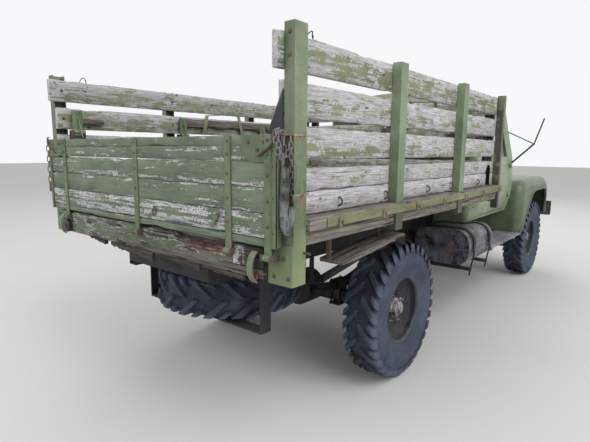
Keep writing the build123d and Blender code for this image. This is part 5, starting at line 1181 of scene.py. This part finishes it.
sleeve = {
    "x": -3.231,
    # across and height of the middle line, half width, half depth, from the open top round the fold
    "line": (
        (1.1735, 1.662, 0.0225, 0.0105), (1.1735, 1.620, 0.0258, 0.0128), (1.1735, 1.560, 0.0264, 0.0140),
            (1.1735, 1.490, 0.0266, 0.0145),
        (1.1740, 1.435, 0.0264, 0.0145), (1.1765, 1.400, 0.0252, 0.0145), (1.1850, 1.380, 0.0220, 0.0142),
            (1.1975, 1.379, 0.0180, 0.0138),
        (1.2070, 1.395, 0.0150, 0.0130), (1.2125, 1.425, 0.0138, 0.0126), (1.2145, 1.458, 0.0128, 0.0120),
            (1.2150, 1.487, 0.0105, 0.0105),
    ),
    "rings": 110, "sides": 44, "fold": 0.40, "tuck": 0.38, "sizes": (0.45, 1.06),
}


def buildSleeve():
    cloth = Shape()
    line, rings, sides, tuck = (sleeve[key] for key in ("line", "rings", "sides", "tuck"))
    least, most = sleeve["sizes"]
    for i in range(rings + 1):
        share = i / rings
        y, z, wide, deep = alongLine(line, share)
        y2, z2, _, _ = alongLine(line, min(1.0, share + 0.01))
        y1, z1, _, _ = alongLine(line, max(0.0, share - 0.01))
        run = Vector((0, y2 - y1, z2 - z1)).normalized()
        out = Vector((0, -run.z, run.y))
        for k in range(sides):
            turn = 2 * math.pi * k / sides
            crease = noise.noise(Vector((math.cos(turn) * 2.6, math.sin(turn) * 2.6, share * 6)))
            pinch = abs(math.sin(turn * 2.5 + share * 13 + crease * 4)) ** 0.5
            size = max(least, min(1.0 - tuck + sleeve["fold"] * crease + tuck * pinch, most))
            spot = Vector((deep * math.sin(turn) * size, y, z)) + out * wide * math.cos(turn) * size
            if i == 0:    # a torn upper edge
                spot.z += 0.006 * noise.noise(Vector((turn * 1.5, 2, 5)))
            cloth.verts.append(Vector((sleeve["x"] + spot.x, -spot.y, spot.z)))
    cloth.join(0, rings + 1, sides)
    piece = cloth.piece("chainSleeve", "wornCanvas", "canvas_sleeve", 70, replace=True)


buildSleeve()

fittings = {
    "boltRadius": 0.0090, "boltHeight": 0.0065,
    "endPlate": (1.1165, 1.1450, 0.0080),
    "endFlange": (1.1422, 1.1450), "endTops": (1.680, 1.796), "nails": (1.36, 1.52, 1.66),
    "gussetBolts": ((0.972, 1.768), (1.069, 1.768), (1.029, 1.733), (1.117, 1.729)),
    "ring": (-0.202, 1.376), "lever": ((-0.776, 1.439), (-0.713, 1.352)),
    "postBolts": ((1.172, 2.230), (1.172, 2.137)),
    "cornerBolts": ((1.082, 1.268), (1.149, 1.239), (1.090, 1.150), (1.176, 1.150)),
    "boardBolts": (-3.155, -2.175, -1.125, -0.115),
    "cleats": (7, -2.877, 0.4445),    # count, rear edge of the first one, pitch
    "cleatNail": ((1.2385, 1.371), (1.2405, 1.391)),
    # radius and height of each kind of head
    "postBolt": (0.0105, 0.009), "cornerBolt": (0.0105, 0.008), "boardBolt": (0.0110, 0.006),
    "nailHead": (0.0050, 0.002),
    "postFace": -3.2000, "cornerFace": -3.2080, "ringSize": (0.018, 0.0034), "leverSize": (0.020, 0.008, 0.002),
    "pinRadius": 0.0060, "pin": ((-3.128, -1.198, 1.264), (-3.126, -1.238, 1.261)),
    "whitePlate": ((-3.2440, -0.905, 1.180), (-3.2398, -0.848, 1.256)),
    # wire rings over the top boards
    "wireRings": ((-2.991, -1.122), (-2.977, 1.122)),
}


def buildTailgateFittings():
    f, face, foot = fittings, tailgate["rear"], tailgate["foot"]
    bolts, plates, nails, rods = (Shape() for _ in range(4))
    rearward, head = (-1, 0, 0), (f["boltRadius"], f["boltHeight"])
    for y, z in product(tailgate["straps"], tailgate["boltHeights"][1:]):
        bolts.dome((face - 0.0075, y, z), rearward, *head)
    inner, outer, gauge = f["endPlate"]
    flangeInner, flangeOuter = f["endFlange"]
    plateTop, flangeTop = f["endTops"]
    back = face - gauge
    for side in (-1, 1):
        plates.block(*mirrored((back, inner, foot + 0.002), (face + 0.001, outer, plateTop), side), 0.0015)
        low, high = (back + 0.001, flangeInner, foot + 0.004), (tailgate["front"], flangeOuter, flangeTop)
        plates.block(*mirrored(low, high, side), 0.0008)
        for z in f["nails"]:
            nails.dome((back + 0.001, side * (outer - 0.016), z), rearward, *f["nailHead"])
        for y, z in f["gussetBolts"]:
            bolts.dome((face - 0.0035, side * y, z), rearward, *head)
        bent = [(x, -side * y, z) for x, y, z in rearCorner["hook"]]
        rods.tube([alongLine(bent, k / 24) for k in range(25)], rearCorner["hookRadius"], 9)
    y, z = f["ring"]
    bolts.block((face - 0.003, y - 0.016, z + 0.004), (face, y + 0.016, z + 0.036), 0.001)
    turns, (radius, wire) = [t * math.pi / 10 for t in range(20)], f["ringSize"]
    loop = [(face - 0.006, y + radius * math.sin(turn), z + radius * math.cos(turn)) for turn in turns]
    rods.tube(loop, wire, 8, wrap=True)
    (y1, z1), (y2, z2) = f["lever"]
    plates.bar(((face - 0.014, y1, z1), (face - 0.011, y2, z2)), (0, 0.8, 0.6), *f["leverSize"])
    bolts.dome((face - 0.016, y1 + 0.012, z1 - 0.018), rearward, 0.010, 0.007)
    bolts.piece("tailgateBolts", "rustySteel", "tailgate_straps", 40)
    plates.piece("tailgateEnds", "strapPaint", "tailgate_straps", 40)
    nails.piece("tailgateNails", "hoopBlack", "tailgate_straps", 40)
    rods.piece("cornerHooks", "rustySteel", "tailgate_straps", 40)


buildTailgateFittings()


def buildBodyFittings():
    f, rearward = fittings, (-1, 0, 0)
    bolts, dark, plate = Shape(), Shape(), Shape()
    for side in (-1, 1):
        for y, z in f["postBolts"]:
            bolts.dome((f["postFace"], side * y, z), rearward, *f["postBolt"], 6)
        for y, z in f["cornerBolts"]:
            bolts.dome((f["cornerFace"], side * y, z), rearward, *f["cornerBolt"])
        for x, (foot, head, _, _) in product(f["boardBolts"], bodyWork["rows"]):
            bolts.dome((x, side * bodyWork["inner"], (foot + head) / 2), (0, -side, 0), *f["boardBolt"])
    bolts.tube(f["pin"], f["pinRadius"], 10)
    top = bodyWork["rows"][-1][1]
    for x, y in f["wireRings"]:
        tail = [(x + 0.020 + 0.003 * t, y + 0.006 * t, top + 0.022 - 0.012 * t) for t in range(4)]
        dark.tube(tail, 0.0026, 6)
        arc = []
        for t in range(10):
            turn = t * math.pi / 9
            spot = (x + 0.026 * math.cos(turn), y + 0.008 * math.sin(t), top - 0.012 + 0.048 * math.sin(turn))
            arc.append(spot)
        dark.tube(arc, 0.0028, 7)
    cleats, rear, pitch = f["cleats"]
    (inner, foot), (outer, head) = f["cleatNail"]
    for i, side in product(range(cleats), (-1, 1)):    # rusted nails through the rope cleats
        x = rear + pitch * i
        dark.block(*mirrored((x + 0.004, inner, foot), (x + 0.018, outer, head), side), 0.0008)
    plate.block(*f["whitePlate"], 0.001)
    bolts.piece("bodyBolts", "rustySteel", "rope_hooks", 40)
    dark.piece("wireLoops", "hoopBlack", "rope_hooks", 40)
    plate.piece("beamPlate", "flakedWhite", "rope_hooks", 40)


buildBodyFittings()

# leaning plate inside the right rear post and light brackets at the front posts' tops
plates = {
    "x": (-3.2065, -3.2005), "head": (1.1385, 1.988), "foot": (1.052, 1.806), "edgeWidth": 0.024, "edgeGauge": 0.006,
    "bracketOuter": ((-0.1430, 1.2004, 2.118), (-0.0880, 1.2050, 2.2530)),
    "bracketRear": ((-0.1450, 1.1500, 2.118), (-0.1402, 1.2050, 2.2530)),
}


def buildPlates():
    sheets, rims = Shape(), Shape()
    near, far = plates["x"]
    (headY, headZ), (footY, footZ) = plates["head"], plates["foot"]
    tip = footZ + 0.012
    outline = ((headY, headZ), (headY, footZ), (footY, footZ), (footY, tip))
    sheets.verts += [Vector((x, -y, z)) for x in (far, near) for y, z in outline]
    sheets.join(0, 2, 4)
    edge = near + plates["edgeWidth"] / 2
    rim = ((edge, -headY, headZ + 0.010), (edge, 0.001 - footY, tip))
    rims.bar(rim, (1, 0, 0), plates["edgeWidth"], plates["edgeGauge"])
    for side, key in product((-1, 1), ("bracketOuter", "bracketRear")):
        rims.block(*mirrored(*plates[key], side), 0.001)
    sheets.piece("cornerPlates", "hoopBlack", "posts")
    rims.piece("cornerPlateRims", "strapPaint", "posts")


buildPlates()

# near-black slatted plate behind the arch in the right side boards and a liner on the cut's jamb: painted shade in
# the opening
archShadeLining = {"x": (-0.345, -0.205), "y": (-1.1036, -1.0985), "z": (1.424, 1.632), "slats": 7, "depth": -1.1215,
    "width": 0.039, "gauge": 0.003, "foot": 1.4265}


def buildArchShadeLining():
    a, lining = archShadeLining, Shape()
    (rear, front), (outer, inner), (foot, top) = a["x"], a["y"], a["z"]
    lining.block((rear, outer + 0.002, foot), (front, inner, top))
    for i in range(a["slats"]):
        x = rear + (i + 0.5) * (front - rear) / a["slats"]
        lining.block((x - 0.003, outer, foot), (x + 0.003, outer + 0.003, top), 0.0008)
    half = bodyWork["archHalf"] - a["gauge"] / 2 - 0.0005
    turns = [k * math.pi / 16 for k in range(17)]
    arch = [(half * math.cos(turn), bodyWork["archSpring"] + half * math.sin(turn)) for turn in turns]
    rim = [(bodyWork["archMiddle"] + x, a["depth"], z) for x, z in ((half, a["foot"]), *arch, (-half, a["foot"]))]
    lining.bar(rim, (0, 1, 0), a["width"], a["gauge"], 0.0006)
    lining.piece("archShadeLining", "archShadow", "rope_hooks")


buildArchShadeLining()

lamps = {
    "tail": (-3.240, 0.925, 1.175),
    "tailHousing": ((0.000, 0.046), (0.024, 0.0475), (0.030, 0.0468), (0.0325, 0.0430), (0.0335, 0.0400),
        (0.0300, 0.0385), (0.0, 0.0385)),
    "tailLens": ((0.024, 0.0386), (0.030, 0.0384), (0.0345, 0.0330), (0.0375, 0.0200), (0.0385, 0.0008),
        (0.024, 0.0008)),
    "brokenLens": (-3.2440, -1.000, 1.136),
    "head": (0.765, 1.105, 2.975),
    "headRing": ((0.000, 0.104), (0.028, 0.1048), (0.036, 0.1030), (0.0400, 0.0985), (0.0395, 0.0930),
        (0.0340, 0.0900), (0.0, 0.0900)),
    "headLens": ((0.026, 0.0905), (0.031, 0.0900), (0.0345, 0.0820), (0.0375, 0.0600), (0.0390, 0.0300),
        (0.0395, 0.0008), (0.026, 0.0008)),
}


def buildLamps():
    housing, lens, shard, rings, panes = (Shape() for _ in range(5))
    housing.spun(lamps["tailHousing"], lamps["tail"], (-1, 0, 0))
    lens.spun(lamps["tailLens"], lamps["tail"], (-1, 0, 0))
    shard.dome(lamps["brokenLens"], (-1, 0.1, 0.2), 0.024, 0.014, 9)
    for vert in shard.verts:    # what is left is jagged
        vert.z += 0.007 * noise.noise(vert * 60)
    y, z, x = lamps["head"]
    for side in (-1, 1):
        rings.spun(lamps["headRing"], (x, side * y, z), (1, 0, 0))
        panes.spun(lamps["headLens"], (x, side * y, z), (1, 0, 0))
    housing.piece("tailLampHousing", "hoopBlack", "lamp_guards")
    lens.piece("tailLampLens", "smokedLens", "lamp_guards", 50)
    shard.piece("tailLampShard", "redLens", "lamp_guards", 50)
    rings.piece("headLampRings", "cabPaint", "headlamps", 50, replace=True)
    panes.piece("headLampPanes", "paleLens", "headlamps", 50, replace=True)


buildLamps()

# seat: a sprung cushion and back with sewn channels
seat = {"cuts": 26, "corner": 7.0, "crown": 0.30, "channels": 9, "channelDepth": 0.007, "channelHalf": 0.012}


def buildPad(node, thin, flat):
    # thin is the axis through the pad, flat the one along its short side
    low, high = [Vector(corner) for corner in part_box(node)]
    middle, half = (low + high) / 2, (high - low) / 2 - Vector((0.001, 0.001, 0.001))
    power, step = seat["corner"], 2 * half.y / seat["channels"]
    work = bmesh.new()
    bmesh.ops.create_cube(work, size=2)
    bmesh.ops.subdivide_edges(work, edges=work.edges, cuts=seat["cuts"], use_grid_fill=True)
    for vert in work.verts:
        p = vert.co.copy()
        p /= (abs(p.x) ** power + abs(p.y) ** power + abs(p.z) ** power) ** (1 / power)
        fall = max(0.0, 1 - abs(p.y) ** 5) * max(0.0, 1 - abs(p[flat]) ** 4)
        p[thin] *= 1 - seat["crown"] * (1 - fall)
        spot = Vector([middle[i] + p[i] * half[i] for i in range(3)])
        off = (spot.y - low.y) % step
        off = min(off, step - off)
        spot[thin] -= math.copysign(seat["channelDepth"] * math.exp(-(off / seat["channelHalf"]) ** 2), p[thin])
        vert.co = spot
    mesh = bpy.data.meshes.new(node + "Pad")
    work.to_mesh(mesh)
    work.free()
    dress(mesh, "seatCover")
    piece = settle(bpy.data.objects.new(node + "Pad", mesh), node)


buildPad("seat_cushion", 2, 0)
buildPad("seat_back", 0, 2)
print("fittings, lamps and seat ready")
